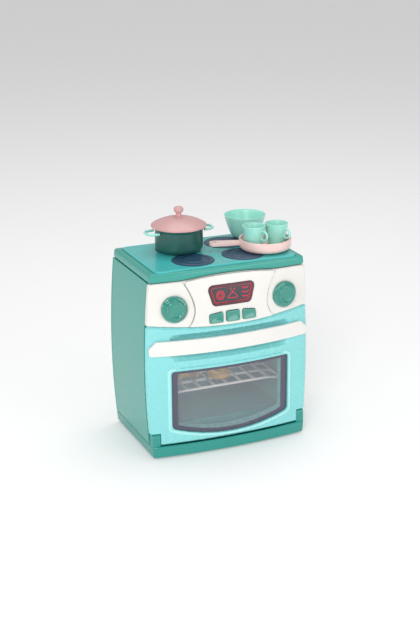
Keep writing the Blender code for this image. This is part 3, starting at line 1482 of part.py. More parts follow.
def bowl():
    wall, top = BOWL_WALL, BOWL_HEIGHT
    rise = BOWL_RADIUS - BOWL_FOOT_RADIUS
    shares = BOWL_SHARES
    inside = [(0, wall)]
    for share in shares:
        inside.append((BOWL_FOOT_RADIUS - wall + rise * share**BOWL_POWER, wall + (top - wall) * share))
    profile = [(BOWL_RADIUS - wall, top), (BOWL_RADIUS, top)]
    for share in reversed(shares):
        profile.append((BOWL_FOOT_RADIUS + rise * share**BOWL_POWER, top * share))
    bowl_body = turned("bowl", inside + profile + [(0, 0)], ROUND_STEPS, "mint")
    bowl_body.location = (BOWL_SPREAD, behind(BOWL_SETBACK), stove_top())
    return bowl_body


def shade_round():
    for obj in bpy.data.objects:
        if obj.type == "MESH" and not obj.hide_render:
            obj.data.shade_smooth()
            obj.data.set_sharp_from_angle(angle=SMOOTH_ANGLE)


def main():
    clear_scene()
    base_plinth()
    feet()
    hinge_pins()
    side_panels()
    front_bezel()
    cavity_liner()
    lamp_lens()
    back_cover()
    battery_cover()
    speaker()
    power_switch()
    top_deck()
    hob_plate()
    burners()
    control_fascia()
    fascia_centre()
    display()
    buttons()
    button_pad_and_board()
    knobs()
    door_frame()
    door_inner_panel()
    door_window()
    door_handle()
    oven_rack()
    food_roll()
    food_ring()
    pot()
    pot_ears()
    pot_lid()
    frying_pan()
    cups()
    bowl()
    shade_round()


if __name__ == "__main__":
    main()
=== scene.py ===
"""Toy oven: the finish of every surface, the rounded mouldings, the cookware and the studio.

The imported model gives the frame, in metres, +Z up, front towards -Y. Each group of sizes below says its unit.
"""

import json
import math

import bpy
from bpy.props import FloatProperty, FloatVectorProperty, PointerProperty
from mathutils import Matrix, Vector


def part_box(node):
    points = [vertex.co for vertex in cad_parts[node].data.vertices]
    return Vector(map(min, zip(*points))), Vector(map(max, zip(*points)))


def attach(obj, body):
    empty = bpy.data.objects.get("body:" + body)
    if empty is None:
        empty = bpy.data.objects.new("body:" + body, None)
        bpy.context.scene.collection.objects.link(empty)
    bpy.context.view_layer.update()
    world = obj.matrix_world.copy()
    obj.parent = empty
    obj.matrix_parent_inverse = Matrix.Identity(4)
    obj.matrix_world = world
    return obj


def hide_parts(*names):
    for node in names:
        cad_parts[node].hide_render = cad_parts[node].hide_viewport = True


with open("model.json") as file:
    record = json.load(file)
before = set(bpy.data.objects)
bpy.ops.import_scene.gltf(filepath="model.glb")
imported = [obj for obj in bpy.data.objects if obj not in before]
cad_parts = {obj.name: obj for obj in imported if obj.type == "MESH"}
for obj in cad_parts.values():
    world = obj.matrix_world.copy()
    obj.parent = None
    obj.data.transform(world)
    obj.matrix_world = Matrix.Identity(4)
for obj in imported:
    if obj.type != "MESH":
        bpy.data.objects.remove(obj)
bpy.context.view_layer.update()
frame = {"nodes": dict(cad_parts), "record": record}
RECORD = frame["record"]
SLOTS = {part["node"]: part["material_slot"] for part in RECORD["subparts"]}
BODY_OF = {node: body for body, nodes in RECORD["behaviour"]["bodies"].items() for node in nodes}

bl_info = {
    "name": "Toy Oven",
    "version": (1, 0, 0),
    "blender": (4, 5, 0),
    "location": "View3D > Sidebar > Toy Oven",
    "description": "Finishes, cookware and studio of a moulded toy oven",
    "category": "Object",
}

MM = 0.001
HANDS = (("left", -1), ("right", 1))
ROUND = 96  # sides of a turned piece

# Body, panel and door in metres
FRONT = -0.047  # the foremost place of the door's face, along Y
BODY_HALF = 0.075
PANEL_LOW = (0.1149, 0.0, 0.010)  # height, setback and bow of the control panel's lower edge
PANEL_HIGH = (0.1557, 0.005, 0.004)
DOOR_LOW = (0.0123, 0.001, 0.006)
DOOR_HIGH = (0.1149, 0.0, 0.010)
WINDOW_HALF = 0.0545
WINDOW_TOP = 0.0785
WINDOW_BOTTOM = 0.017
WINDOW_SMILE = 0.0095  # how far the lower edge rises at its ends
SIGHT_HALF = 0.0485  # the clear middle of the pane
SIGHT_TOP = 0.0755
SIGHT_BOTTOM = 0.0203
SIGHT_SMILE = 0.0085
LIP_RADIUS = 1.75 * MM
LIP_GROW = 1.6 * MM  # from the window's edge to the middle of its lip
LIP_CORNER = 3.6 * MM
LIP_SUNK = 0.65 * MM
LIP_STEPS = 24

# Back, controls and cookware in millimetres; places are across and up
BACK_SCREWS = ((-66, 24), (66, 24), (-66, 140), (66, 140))
COVER_SCREW = (0, 96.5)
RECESS_RADIUS = 2.7
RECESS_DEPTH = 1.0
SCREW_SUNK = 0.75
GRIP_GROOVE = (15, 0.9, 1.0)  # a finger groove of the battery cover, across, deep and tall
GRIP_LOWEST = 111
GRIP_SPACING = 2.2
GRIP_COUNT = 4
KNOB_PLACE = (50.5, 133)
BUTTON_PLACE = (15, 122.6)
BUTTON_SIZE = (12.2, 6.0, 9.2)  # across, deep and tall
BUTTON_SLOPE = 1.6  # how far an outer button's upper edge falls
BUTTON_CORNER = 1.6
BUTTON_PROUD = 2.0
# Each ring of a button's face: how much narrower and how much further out it is.
BUTTON_RINGS = ((0.06, 0.25), (0.12, 0.22), (0.2, 0.16), (0.3, 0.07), (0.4, 0), (0.4, -0.1), (0.6, -0.14))
WAIST_HALF = 32.4  # the panel's raised middle where it is narrowest
WAIST_HEIGHT = 130
FLARE_UP = (9.8, 25.7)  # how much it widens above its waist, and over which height
FLARE_DOWN = (6.2, 15.1)
FLARE_POWER = 1.7
# A grey bead of painted shadow along the seam beside the raised middle
SEAM_GAP = 0.8
SEAM_LOW = 116.2
SEAM_TALL = 39.2
SEAM_STEPS = 40
SEAM_RADIUS = 0.17
SEAM_PROUD = 0.02
PRINT_PROUD = 1.22
DISPLAY_OUTLINE = ((-15.3, 134.7, 1.6), (15.3, 134.7, 1.6), (18.95, 147.4, 1.6), (-18.95, 147.4, 1.6))
FAN_MIDDLE = (-10.4, 140.9)
DISH_OUTLINE = ((-4.4, 137.6, 0.7), (6.0, 137.6, 0.7), (2.4, 141.6, 0.7), (0.8, 142.3, 0.7),
                (-0.8, 141.6, 0.7))
COIL_HEIGHTS = (144.9, 141.3, 137.7)
EAR_START = 20.6  # the pot's loops, from its middle
EAR_REACH = 9.7
EAR_HALF = 7.3
EAR_POWER = 0.7
EAR_RADIUS = 1.15
EAR_STEPS = 32
LID_RIM_DEPTH = 2.4
PAN_RADIUS = 22.6
PAN_REACH = 48.8  # from the pan's middle to the end of its handle
PAN_HANDLE = (4.5, 4.0, 7.0, 21.9)  # radius of its end, its underside, its top and where it starts
PAN_NECK = 8.9
PAN_NECK_TAPER = 0.76
PAN_HOLE = 2.2
PAN_TURN = 165  # degrees
CUP_RADIUS = 10.2
CUP_LOOP = (11.8, 0, 12.09)
CUP_TURN = -70  # degrees
BOWL_WALL = 1.25

# Profiles of the turned pieces: (radius, height) in millimetres
KNOB_PROFILE = [
    (11.05, -0.3), (11.25, -0.1), (11.25, 1.0), (11.15, 1.5), (10.8, 1.95), (10.2, 2.2), (9.1, 2.45),
    (8.6, 2.7), (8.25, 3.2), (8.1, 4.3), (7.98, 5.1), (7.8, 5.55), (7.45, 5.87), (7.05, 6.0),
    (6.65, 5.95), (6.35, 5.78), (6.0, 5.45), (5.6, 5.2), (5.1, 5.1), (3.0, 5.05), (1.0, 5.05),
]
BURNER_PROFILE = [
    (2, 0), (17.9, 0), (18, 0.1), (18, 0.75), (17.85, 0.9), (15.4, 0.9), (15.1, 0.97), (14.75, 1.22),
    (14.4, 1.3), (14.05, 1.22), (13.7, 0.97), (13.4, 0.9), (8.56, 0.9), (8.26, 0.97), (7.9, 1.22),
    (7.56, 1.3), (7.2, 1.22), (6.86, 0.97), (6.56, 0.9), (2, 0.9),
]
POT_PROFILE = [
    (2, 0), (18.2, 0), (18.8, 0.15), (19.3, 0.7), (20.3, 2.0), (20.62, 3.2), (20.7, 4.5), (20.7, 17.9),
    (20.75, 18.4), (21.1, 18.9), (21.38, 19.3), (21.4, 20.1), (21.25, 20.4), (20.9, 20.5),
    (19.8, 20.5), (19.55, 20.35), (19.5, 20.0), (19.5, 3.6), (19.2, 2.3), (18.3, 1.4), (17.5, 1.2), (2, 1.2),
]
LID_UNDERSIDE = [
    (2, 5.65), (6, 5.3), (12.5, 4.1), (17.55, 0.3), (17.6, 0), (17.6, -2.1), (17.8, -2.4), (18.8, -2.4),
    (19, -2.2), (19, 0), (23.7, 0), (24, 0.3), (24, 1.1), (23.8, 1.4),
]
LID_DOME_RADII = (23.3, 22, 20, 17.5, 15, 12.5, 10, 7.5, 5.5, 4.2, 3.4)
LID_KNOB = [
    (2.9, 8.62), (2.45, 9.3), (2.2, 10.2), (2.25, 11.2), (2.7, 11.9), (3.57, 12.3), (4.0, 13.2),
    (4.2, 14.3), (4.1, 15.3), (3.7, 16.1), (3.0, 16.65), (2.0, 16.92), (0.8, 17.0),
]
PAN_PROFILE = [
    (2, 0), (20.3, 0), (20.9, 0.25), (22.0, 1.5), (22.5, 2.6), (22.6, 4), (22.6, 8.8), (22.45, 9.1),
    (22.15, 9.2), (21.6, 9.2), (21.35, 9.05), (21.3, 8.7), (21.3, 3.4), (21.0, 2.2), (20.3, 1.5),
    (19.5, 1.3), (2, 1.3),
]
CUP_OUTSIDE = [
    (1.5, 0), (7.0, 0), (7.35, 0.15), (7.5, 0.5), (10.05, 18.6), (10.2, 19.1), (10.12, 19.4), (9.95, 19.5),
    (1, 19.5),
]
CUP_INSIDE = [(1.0, 1.5), (6.2, 1.5), (6.7, 2.0), (8.95, 18.8), (9.2, 19.3), (9.6, 19.7), (9.8, 21), (1, 21)]


def linear(code):
    """An sRGB hex colour as linear red, green and blue."""
    shares = [int(code[i:i + 2], 16) / 255 for i in (0, 2, 4)]
    return tuple(c / 12.92 if c <= 0.04045 else ((c + 0.055) / 1.055) ** 2.4 for c in shares)


def colour_property(name, description, code):
    return FloatVectorProperty(name=name, description=description, subtype="COLOR", size=3, min=0, max=1,
                               default=linear(code))


def length_property(name, description, value):
    return FloatProperty(name=name, description=description, subtype="DISTANCE", unit="LENGTH",
                         default=value, min=0)


class ToyOvenColours(bpy.types.PropertyGroup):
    """The colours of the mouldings."""

    body: colour_property("Body", "Side panels, deck, back and bezel", "2F9D90")
    plinth: colour_property("Plinth", "Base plinth with the hinge ears", "1F9187")
    door: colour_property("Door", "Door frame and its inner panel", "85D5D6")
    # The window lip's aqua is the door's made lighter: a painted highlight along the lip.
    lip: colour_property("Window lip", "Polished lip round the window", "A0E6E4")
    panel: colour_property("Panel", "Control panel and its raised middle", "E6E4DF")
    handle: colour_property("Handle", "Door handle and oven rack", "E8E6E2")
    controls: colour_property("Controls", "Knobs and push buttons", "1D8A7A")
    hob: colour_property("Hob", "Hob plate", "45BDBB")
    burner: colour_property("Burners", "Ringed burner discs", "1F4560")
    liner: colour_property("Liner", "Oven cavity", "62ADA2")
    display: colour_property("Display frame", "Frame round the display", "4E0D22")
    ink: colour_property("Display ink", "Symbols on the display", "E02A44")
    pot: colour_property("Pot", "Cooking pot", "1C5750")
    lid: colour_property("Lid", "Lid of the pot", "CFA09F")
    pan: colour_property("Pan", "Frying pan", "F0CFCA")
    mint: colour_property("Mint", "Cups, bowl and pot loops", "A2E4D6")
    crust: colour_property("Crust", "Toy food", "F4BE48")


class ToyOvenSizes(bpy.types.PropertyGroup):
    """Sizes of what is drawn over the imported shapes."""

    edge: length_property("Edge radius", "Rounding of the moulded edges", 0.35 * MM)
    stroke: length_property("Stroke", "Half the width of a printed line on the display", 0.24 * MM)
    screw: length_property("Screw head", "Radius of a screw head in the back", 2.1 * MM)


def colours():
    return bpy.context.scene.toy_oven_colours


def sizes():
    return bpy.context.scene.toy_oven_sizes


# Selecting, shaping and settling a piece


def pick(*objects):
    """Leaves only these objects selected, the first of them active, in object mode."""
    if bpy.context.object and bpy.context.object.mode != "OBJECT":
        bpy.ops.object.mode_set(mode="OBJECT")
    bpy.ops.object.select_all(action="DESELECT")
    for obj in objects:
        obj.select_set(True)
    bpy.context.view_layer.objects.active = objects[0]
    return objects[0]


def modify(obj, kind, **settings):
    """Adds a modifier with its settings and applies it."""
    pick(obj)
    modifier = obj.modifiers.new(kind.title(), kind)
    for key, value in settings.items():
        setattr(modifier, key, value)
    bpy.ops.object.modifier_apply(modifier=modifier.name)
    return obj


def combine(obj, other, operation):
    """Joins another solid to this one or cuts it away, and removes the other."""
    modify(obj, "BOOLEAN", operation=operation, object=other, solver="EXACT")
    bpy.data.objects.remove(other, do_unlink=True)
    return obj


def fixed(obj):
    """Takes an object's place, turn and size into its mesh."""
    pick(obj)
    bpy.ops.object.transform_apply(location=True, rotation=True, scale=True)
    return obj


def joined(objects):
    """Makes one object of several."""
    pick(*objects)
    bpy.ops.object.join()
    return bpy.context.object


def smooth(obj, degrees=35):
    pick(obj)
    bpy.ops.object.shade_smooth_by_angle(angle=math.radians(degrees))
    return obj


def settle(obj, name, material, body, stands_for=(), slot=None):
    """Gives a piece its name, its finish and the body that it rides on, its place kept in its mesh."""
    fixed(obj)
    obj.name = obj.data.name = name
    obj.data.materials.clear()
    obj.data.materials.append(material)
    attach(obj, body)
    if stands_for:
        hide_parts(*stands_for)
        slot = slot or SLOTS[stands_for[0]]
    return obj


def stand_in(obj, node, material):
    """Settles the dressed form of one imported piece, on the body that the piece rides on."""
    return settle(obj, f"{node}_moulding", material, BODY_OF[node], (node,))


def another(obj):
    """A copy of a piece with its own mesh."""
    pick(obj)
    bpy.ops.object.duplicate(linked=False)
    return bpy.context.object


def copied(node, whole=True):
    """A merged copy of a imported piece, its flat faces whole again unless they are too pierced for that."""
    source = frame["nodes"][node]
    pick(source)
    bpy.ops.object.duplicate(linked=False)
    obj = bpy.context.object
    obj.parent = None
    for key in list(obj.keys()):
        del obj[key]
    pick(obj)
    bpy.ops.object.mode_set(mode="EDIT")
    bpy.ops.mesh.select_all(action="SELECT")
    bpy.ops.mesh.remove_doubles(threshold=0.004 * MM)
    if whole:
        bpy.ops.mesh.dissolve_limited(angle_limit=math.radians(0.4))
    bpy.ops.object.mode_set(mode="OBJECT")
    return obj


def choose(obj, kind, wanted):
    """Enters edit mode with only the vertices, edges or faces selected that the test wants."""
    pick(obj)
    mesh = obj.data
    parts = {"VERT": mesh.vertices, "EDGE": mesh.edges, "FACE": mesh.polygons}
    bpy.context.tool_settings.mesh_select_mode = [kind == known for known in parts]
    for known, group in parts.items():
        for part in group:
            part.select = known == kind and bool(wanted(part))
    bpy.ops.object.mode_set(mode="EDIT")


def moulded(node, material, edge=None, segments=2, degrees=30, cutters=(), whole=True):
    """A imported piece, less the cutters, with its sharp edges rounded as a mould leaves them."""
    obj = copied(node, whole)
    for cutter in cutters:
        combine(obj, cutter, "DIFFERENCE")
    edge = sizes().edge if edge is None else edge
    if edge:
        modify(obj, "BEVEL", width=edge, segments=segments, limit_method="ANGLE",
               angle_limit=math.radians(40), use_clamp_overlap=True, miter_outer="MITER_ARC")
    smooth(obj, degrees)
    modify(obj, "WEIGHTED_NORMAL", keep_sharp=True)
    return stand_in(obj, node, material)


def turned(rings, steps=ROUND):
    """A round piece raised ring by ring, each a radius and a height in millimetres."""
    bpy.ops.object.select_all(action="DESELECT")
    radius, height = rings[0]
    bpy.ops.mesh.primitive_circle_add(vertices=steps, radius=radius * MM, fill_type="NGON",
                                      location=(0, 0, height * MM))
    obj = fixed(bpy.context.object)
    bpy.ops.object.mode_set(mode="EDIT")
    bpy.ops.mesh.select_all(action="SELECT")
    for (radius, height), (wider, higher) in zip(rings, rings[1:]):
        rise = (higher - height) * MM
        bpy.ops.mesh.extrude_region_move(TRANSFORM_OT_translate={"value": (0, 0, rise)})
        share = wider / radius
        bpy.ops.transform.resize(value=(share, share, 1), center_override=(0, 0, higher * MM))
    bpy.ops.mesh.select_all(action="SELECT")
    bpy.ops.mesh.normals_make_consistent(inside=False)
    bpy.ops.object.mode_set(mode="OBJECT")
    return smooth(obj, 40)


def drum(radius, low, high, steps=ROUND):
    """A cylinder between two heights in millimetres."""
    bpy.ops.object.select_all(action="DESELECT")
    bpy.ops.mesh.primitive_cylinder_add(vertices=steps, radius=radius * MM, depth=(high - low) * MM,
                                        location=(0, 0, (high + low) / 2 * MM))
    return bpy.context.object


def block(across, deep, tall, place):
    """A block by its sizes and its middle, in millimetres."""
    bpy.ops.object.select_all(action="DESELECT")
    bpy.ops.mesh.primitive_cube_add(size=1, location=[c * MM for c in place])
    bpy.context.object.scale = (across * MM, deep * MM, tall * MM)
    return fixed(bpy.context.object)


def bowed(x, z, proud, lower, upper):
    """A place proud of a bowed front, in metres, from the height, setback and bow of its two edges."""
    part = (z - lower[0]) / (upper[0] - lower[0])
    setback = lower[1] + (upper[1] - lower[1]) * part
    bow = lower[2] + (upper[2] - lower[2]) * part
    return (x, FRONT + setback + bow * (x / BODY_HALF) ** 2 - proud, z)


def panel_face(x, z, proud):
    return bowed(x, z, proud, PANEL_LOW, PANEL_HIGH)


def panel_tilt(x, z):
    """How far the panel's face turns and leans at a place, in radians."""
    step = 0.3 * MM
    turn = math.atan((panel_face(x + step, z, 0)[1] - panel_face(x - step, z, 0)[1]) / (2 * step))
    lean = math.atan((panel_face(x, z + step, 0)[1] - panel_face(x, z - step, 0)[1]) / (2 * step))
    return turn, lean


def rounded(corners, steps=6):
    """The places along a closed outline whose corners are (across, height, radius)."""
    points = []
    for k, (x, z, radius) in enumerate(corners):
        here = Vector((x, z))
        if not radius:
            points.append((x, z))
            continue
        before = (Vector(corners[k - 1][:2]) - here).normalized()
        after = (Vector(corners[(k + 1) % len(corners)][:2]) - here).normalized()
        half = before.angle(after) / 2
        centre = here + (before + after).normalized() * radius / math.sin(half)
        first = here + before * radius / math.tan(half) - centre
        last = here + after * radius / math.tan(half) - centre
        for step in range(steps + 1):
            points.append(tuple(centre + first.lerp(last, step / steps).normalized() * radius))
    return points


def swept(points, closed, radius, roundness=1):
    """A round bead swept along places in metres."""
    bpy.ops.object.select_all(action="DESELECT")
    curve = bpy.data.curves.new("bead", "CURVE")
    curve.dimensions = "3D"
    curve.bevel_depth = radius
    curve.bevel_resolution = roundness
    curve.use_fill_caps = True
    line = curve.splines.new("POLY")
    line.points.add(len(points) - 1)
    line.use_cyclic_u = closed
    for point, place in zip(line.points, points):
        point.co = (*place, 1)
    obj = bpy.data.objects.new("bead", curve)
    bpy.context.scene.collection.objects.link(obj)
    pick(obj)
    bpy.ops.object.convert(target="MESH")
    return bpy.context.object


def ring_points(x, z, radius, count=28):
    """The places round a circle."""
    angles = [math.radians(360 * k / count) for k in range(count)]
    return [(x + radius * math.cos(a), z + radius * math.sin(a)) for a in angles]


def middle_of(node):
    low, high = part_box(node)
    return (low + high) / 2


def foot_of(node):
    """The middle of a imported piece's underside."""
    middle = middle_of(node)
    return (middle.x, middle.y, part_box(node)[0].z)


# Materials


def add_node(tree, kind, settings=None, values=None, links=None):
    """Adds a node with its settings, its constant inputs and its links."""
    node = tree.nodes.new(kind)
    for key, value in (settings or {}).items():
        setattr(node, key, value)
    for key, value in (values or {}).items():
        node.inputs[key].default_value = value
    for key, source in (links or {}).items():
        tree.links.new(source, node.inputs[key])
    return node


def new_material(name, **constants):
    material = bpy.data.materials.new(name)
    material.use_nodes = True
    tree = material.node_tree
    shader = tree.nodes["Principled BSDF"]
    for key, value in constants.items():
        shader.inputs[key.replace("_", " ")].default_value = value
    place = add_node(tree, "ShaderNodeTexCoord").outputs["Object"]
    return material, tree, shader, place


def tinted(colour, share):
    return (*(min(1, c * share) for c in colour), 1)


def moulded_plastic(name, colour, roughness, cloud=0.025, peel=0.9, depth=0.0035, skin=0.3, milky=0.0):
    """Injection-moulded ABS: an even colour with faint flow clouds, a soft gloss and a slight orange peel."""
    material = bpy.data.materials.get(name)
    if material:
        return material
    material, tree, shader, place = new_material(name, IOR=1.53, Subsurface_Weight=milky,
                                                 Subsurface_Scale=1.2 * MM, Coat_Weight=skin,
                                                 Coat_Roughness=0.12)
    # Flow clouds about 16 mm across, where the melt filled the mould.
    flow = add_node(tree, "ShaderNodeTexNoise", values={"Scale": 1 / (16 * MM), "Detail": 3},
                    links={"Vector": place}).outputs["Fac"]
    tone = add_node(tree, "ShaderNodeMix", {"data_type": "RGBA"},
                    {6: tinted(colour, 1 - cloud), 7: tinted(colour, 1 + cloud)}, {0: flow})
    tree.links.new(tone.outputs[2], shader.inputs["Base Color"])
    # Handling and mould polish change the gloss over about 5 mm.
    polish = add_node(tree, "ShaderNodeTexNoise", values={"Scale": 1 / (5 * MM), "Detail": 4},
                      links={"Vector": place}).outputs["Fac"]
    gloss = add_node(tree, "ShaderNodeMapRange", values={3: roughness - 0.05, 4: roughness + 0.08},
                     links={0: polish}).outputs[0]
    # Play scuffs: sparse hairlines, 0.5 mm across and drawn about ten times as long, that dull the gloss.
    along = add_node(tree, "ShaderNodeMapping",
                     values={"Scale": (0.1, 0.6, 1.0), "Rotation": (0.3, 0.2, 0.5)},
                     links={"Vector": place}).outputs["Vector"]
    hairs = add_node(tree, "ShaderNodeTexNoise", values={"Scale": 1 / (0.5 * MM), "Detail": 1},
                     links={"Vector": along}).outputs["Fac"]
    worn = add_node(tree, "ShaderNodeMapRange", values={1: 0.74, 2: 0.86, 3: 0, 4: 0.15}, links={0: hairs})
    dulled = add_node(tree, "ShaderNodeMath", {"operation": "ADD"}, links={0: gloss, 1: worn.outputs[0]})
    tree.links.new(dulled.outputs[0], shader.inputs["Roughness"])
    # Orange peel: waves of about a millimetre, drawn a little coarser than real so that they show.
    waves = add_node(tree, "ShaderNodeTexNoise", values={"Scale": 1 / (peel * MM), "Detail": 2},
                     links={"Vector": place}).outputs["Fac"]
    bump = add_node(tree, "ShaderNodeBump", values={"Strength": 0.35, "Distance": depth * MM},
                    links={"Height": waves})
    tree.links.new(bump.outputs["Normal"], shader.inputs["Normal"])
    return material


# Each moulded finish: its colour, its roughness and what else sets it apart.
PLASTICS = {
    "moulded_abs_sea_green": ("body", 0.3, {}),
    "moulded_abs_plinth_green": ("plinth", 0.3, {}),
    "moulded_abs_liner_green": ("liner", 0.4, {"peel": 1.6, "depth": 0.01, "skin": 0.1}),
    "moulded_abs_aqua": ("door", 0.26, {"skin": 0.4}),
    # The lip's lighter aqua is a painted highlight; its lower roughness and thicker coat are its polish.
    "polished_abs_aqua": ("lip", 0.16, {"skin": 0.8}),
    "moulded_abs_white": ("handle", 0.28, {"skin": 0.35}),
    "moulded_abs_ivory": ("panel", 0.3, {"cloud": 0.02}),
    "moulded_abs_control_green": ("controls", 0.13, {"skin": 0.9}),
    "moulded_abs_display_red": ("display", 0.3, {"skin": 0.2, "depth": 0.002}),
    "moulded_abs_hob_aqua": ("hob", 0.28, {}),
    "moulded_abs_burner_navy": ("burner", 0.4, {"skin": 0.15}),
    "moulded_pp_bottle_green": ("pot", 0.34, {"skin": 0.15, "milky": 0.03}),
    "moulded_pp_mint": ("mint", 0.34, {"skin": 0.2, "milky": 0.15}),
    "moulded_pp_rose": ("lid", 0.36, {"skin": 0.15, "milky": 0.12}),
    "moulded_pp_blush": ("pan", 0.34, {"skin": 0.15, "milky": 0.15}),
}


def plastic(name):
    colour, roughness, settings = PLASTICS[name]
    return moulded_plastic(name, getattr(colours(), colour), roughness, **settings)


def smoked_pane():
    """Smoked clear styrene with a printed border: glossy, see-through in the middle, dark round it."""
    material, tree, shader, place = new_material("smoked_styrene_pane", IOR=1.59, Roughness=0.07,
                                                 Coat_Weight=0.5, Coat_Roughness=0.03)
    sums, multiply = "ShaderNodeMath", {"operation": "MULTIPLY"}
    subtract, largest = {"operation": "SUBTRACT"}, {"operation": "MAXIMUM"}
    axes = add_node(tree, "ShaderNodeSeparateXYZ", links={0: place}).outputs
    across = add_node(tree, sums, {"operation": "ABSOLUTE"}, links={0: axes["X"]}).outputs[0]
    share = add_node(tree, sums, {"operation": "DIVIDE"}, {1: SIGHT_HALF}, {0: across}).outputs[0]
    square = add_node(tree, sums, multiply, links={0: share, 1: share}).outputs[0]
    rise = add_node(tree, sums, multiply, {1: SIGHT_SMILE}, {0: square}).outputs[0]
    edge = add_node(tree, sums, {"operation": "ADD"}, {1: SIGHT_BOTTOM}, {0: rise}).outputs[0]
    # How far a place lies outside the clear middle: beside it, above it or below it.
    beside = add_node(tree, sums, subtract, {1: SIGHT_HALF}, {0: across}).outputs[0]
    above = add_node(tree, sums, subtract, {1: SIGHT_TOP}, {0: axes["Z"]}).outputs[0]
    below = add_node(tree, sums, subtract, links={0: edge, 1: axes["Z"]}).outputs[0]
    outside = add_node(tree, sums, largest, links={0: beside, 1: above}).outputs[0]
    outside = add_node(tree, sums, largest, links={0: outside, 1: below}).outputs[0]
    # The print ends softly over a fifth of a millimetre.
    border = add_node(tree, "ShaderNodeMapRange", values={1: -0.1 * MM, 2: 0.1 * MM, 3: 0, 4: 1},
                      links={0: outside}).outputs[0]
    haze = add_node(tree, "ShaderNodeTexNoise", values={"Scale": 1 / (22 * MM), "Detail": 3},
                    links={"Vector": place}).outputs["Fac"]
    smoke = add_node(tree, "ShaderNodeMix", {"data_type": "RGBA"},
                     {6: (*linear("B0AEBC"), 1), 7: (*linear("BEBCC8"), 1)}, {0: haze}).outputs[2]
    tone = add_node(tree, "ShaderNodeMix", {"data_type": "RGBA"}, {7: (*linear("424357"), 1)},
                    {0: border, 6: smoke})
    tree.links.new(tone.outputs[2], shader.inputs["Base Color"])
    cover = add_node(tree, "ShaderNodeMapRange", values={3: 0.19, 4: 1.0}, links={0: border})
    tree.links.new(cover.outputs[0], shader.inputs["Alpha"])
    return material


def printed_ink(name, colour, painted_glow):
    """Screen-printed ink: flat and matt, with the slightly uneven lay of the squeegee, and a faint painted glow
    in its own colour.
    """
    material, tree, shader, place = new_material(name, Roughness=0.45, Emission_Strength=painted_glow,
                                                 Emission_Color=(*colour, 1))
    lay = add_node(tree, "ShaderNodeTexNoise", values={"Scale": 1 / (0.8 * MM), "Detail": 2},
                   links={"Vector": place}).outputs["Fac"]
    tone = add_node(tree, "ShaderNodeMix", {"data_type": "RGBA"},
                    {6: tinted(colour, 0.85), 7: tinted(colour, 1.1)}, {0: lay})
    tree.links.new(tone.outputs[2], shader.inputs["Base Color"])
    return material


def baked_crust(colour):
    """Painted PVC food: golden, browner in broad patches, with a fine leathery skin."""
    material, tree, shader, place = new_material("painted_pvc_crust", IOR=1.52, Subsurface_Weight=0.15,
                                                 Subsurface_Scale=1.5 * MM)
    patches = add_node(tree, "ShaderNodeTexNoise", values={"Scale": 1 / (6 * MM), "Detail": 4},
                       links={"Vector": place}).outputs["Fac"]
    tone = add_node(tree, "ShaderNodeMix", {"data_type": "RGBA"},
                    {6: tinted(colour, 0.62), 7: tinted(colour, 1.12)}, {0: patches})
    tree.links.new(tone.outputs[2], shader.inputs["Base Color"])
    gloss = add_node(tree, "ShaderNodeMapRange", values={3: 0.38, 4: 0.62}, links={0: patches})
    tree.links.new(gloss.outputs[0], shader.inputs["Roughness"])
    skin = add_node(tree, "ShaderNodeTexNoise", values={"Scale": 1 / (0.7 * MM), "Detail": 3},
                    links={"Vector": place}).outputs["Fac"]
    bump = add_node(tree, "ShaderNodeBump", values={"Strength": 0.5, "Distance": 0.08 * MM},
                    links={"Height": skin})
    tree.links.new(bump.outputs["Normal"], shader.inputs["Normal"])
    return material


def drawn_steel():
    """Drawn steel wire: bright, its gloss uneven over half a millimetre."""
    material, tree, shader, place = new_material("drawn_steel", Metallic=1.0,
                                                 Base_Color=(0.62, 0.62, 0.63, 1))
    marks = add_node(tree, "ShaderNodeTexNoise", values={"Scale": 1 / (0.5 * MM), "Detail": 2},
                     links={"Vector": place}).outputs["Fac"]
    gloss = add_node(tree, "ShaderNodeMapRange", values={3: 0.22, 4: 0.42}, links={0: marks})
    tree.links.new(gloss.outputs[0], shader.inputs["Roughness"])
    return material


def clear_lens():
    """Lit lamp lens of clear styrene: glossy, slightly warm, with moulded ring prisms about 1.6 mm apart."""
    material, tree, shader, place = new_material("clear_styrene_lens", IOR=1.59, Roughness=0.1,
                                                 Coat_Weight=0.4, Base_Color=(*linear("F6EBC4"), 1),
                                                 Emission_Strength=22.0,
                                                 Emission_Color=(*linear("FFF3DC"), 1))
    prisms = add_node(tree, "ShaderNodeTexWave", {"wave_type": "RINGS"},
                      {"Scale": 1 / (5 * MM)}, {"Vector": place}).outputs["Fac"]
    bump = add_node(tree, "ShaderNodeBump", values={"Strength": 0.4, "Distance": 0.1 * MM},
                    links={"Height": prisms})
    tree.links.new(bump.outputs["Normal"], shader.inputs["Normal"])
    return material


def surround(name, code, roughness, grain):
    """A plain matt technical surface with a grain of the given size in millimetres."""
    return moulded_plastic(name, linear(code), roughness, cloud=0.12, peel=grain, depth=0.03, skin=0.0)


# Pieces


class Piece(bpy.types.Operator):
    bl_options = {"REGISTER", "UNDO"}


def recess(x, z):
    """A cutter for a screw's recess in the back, its middle across and up in millimetres."""
    obj = drum(RECESS_RADIUS, -RECESS_DEPTH, RECESS_DEPTH, 40)
    obj.rotation_euler = (math.pi / 2, 0, 0)
    obj.location = (x * MM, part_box("back_cover")[1].y, z * MM)
    return fixed(obj)


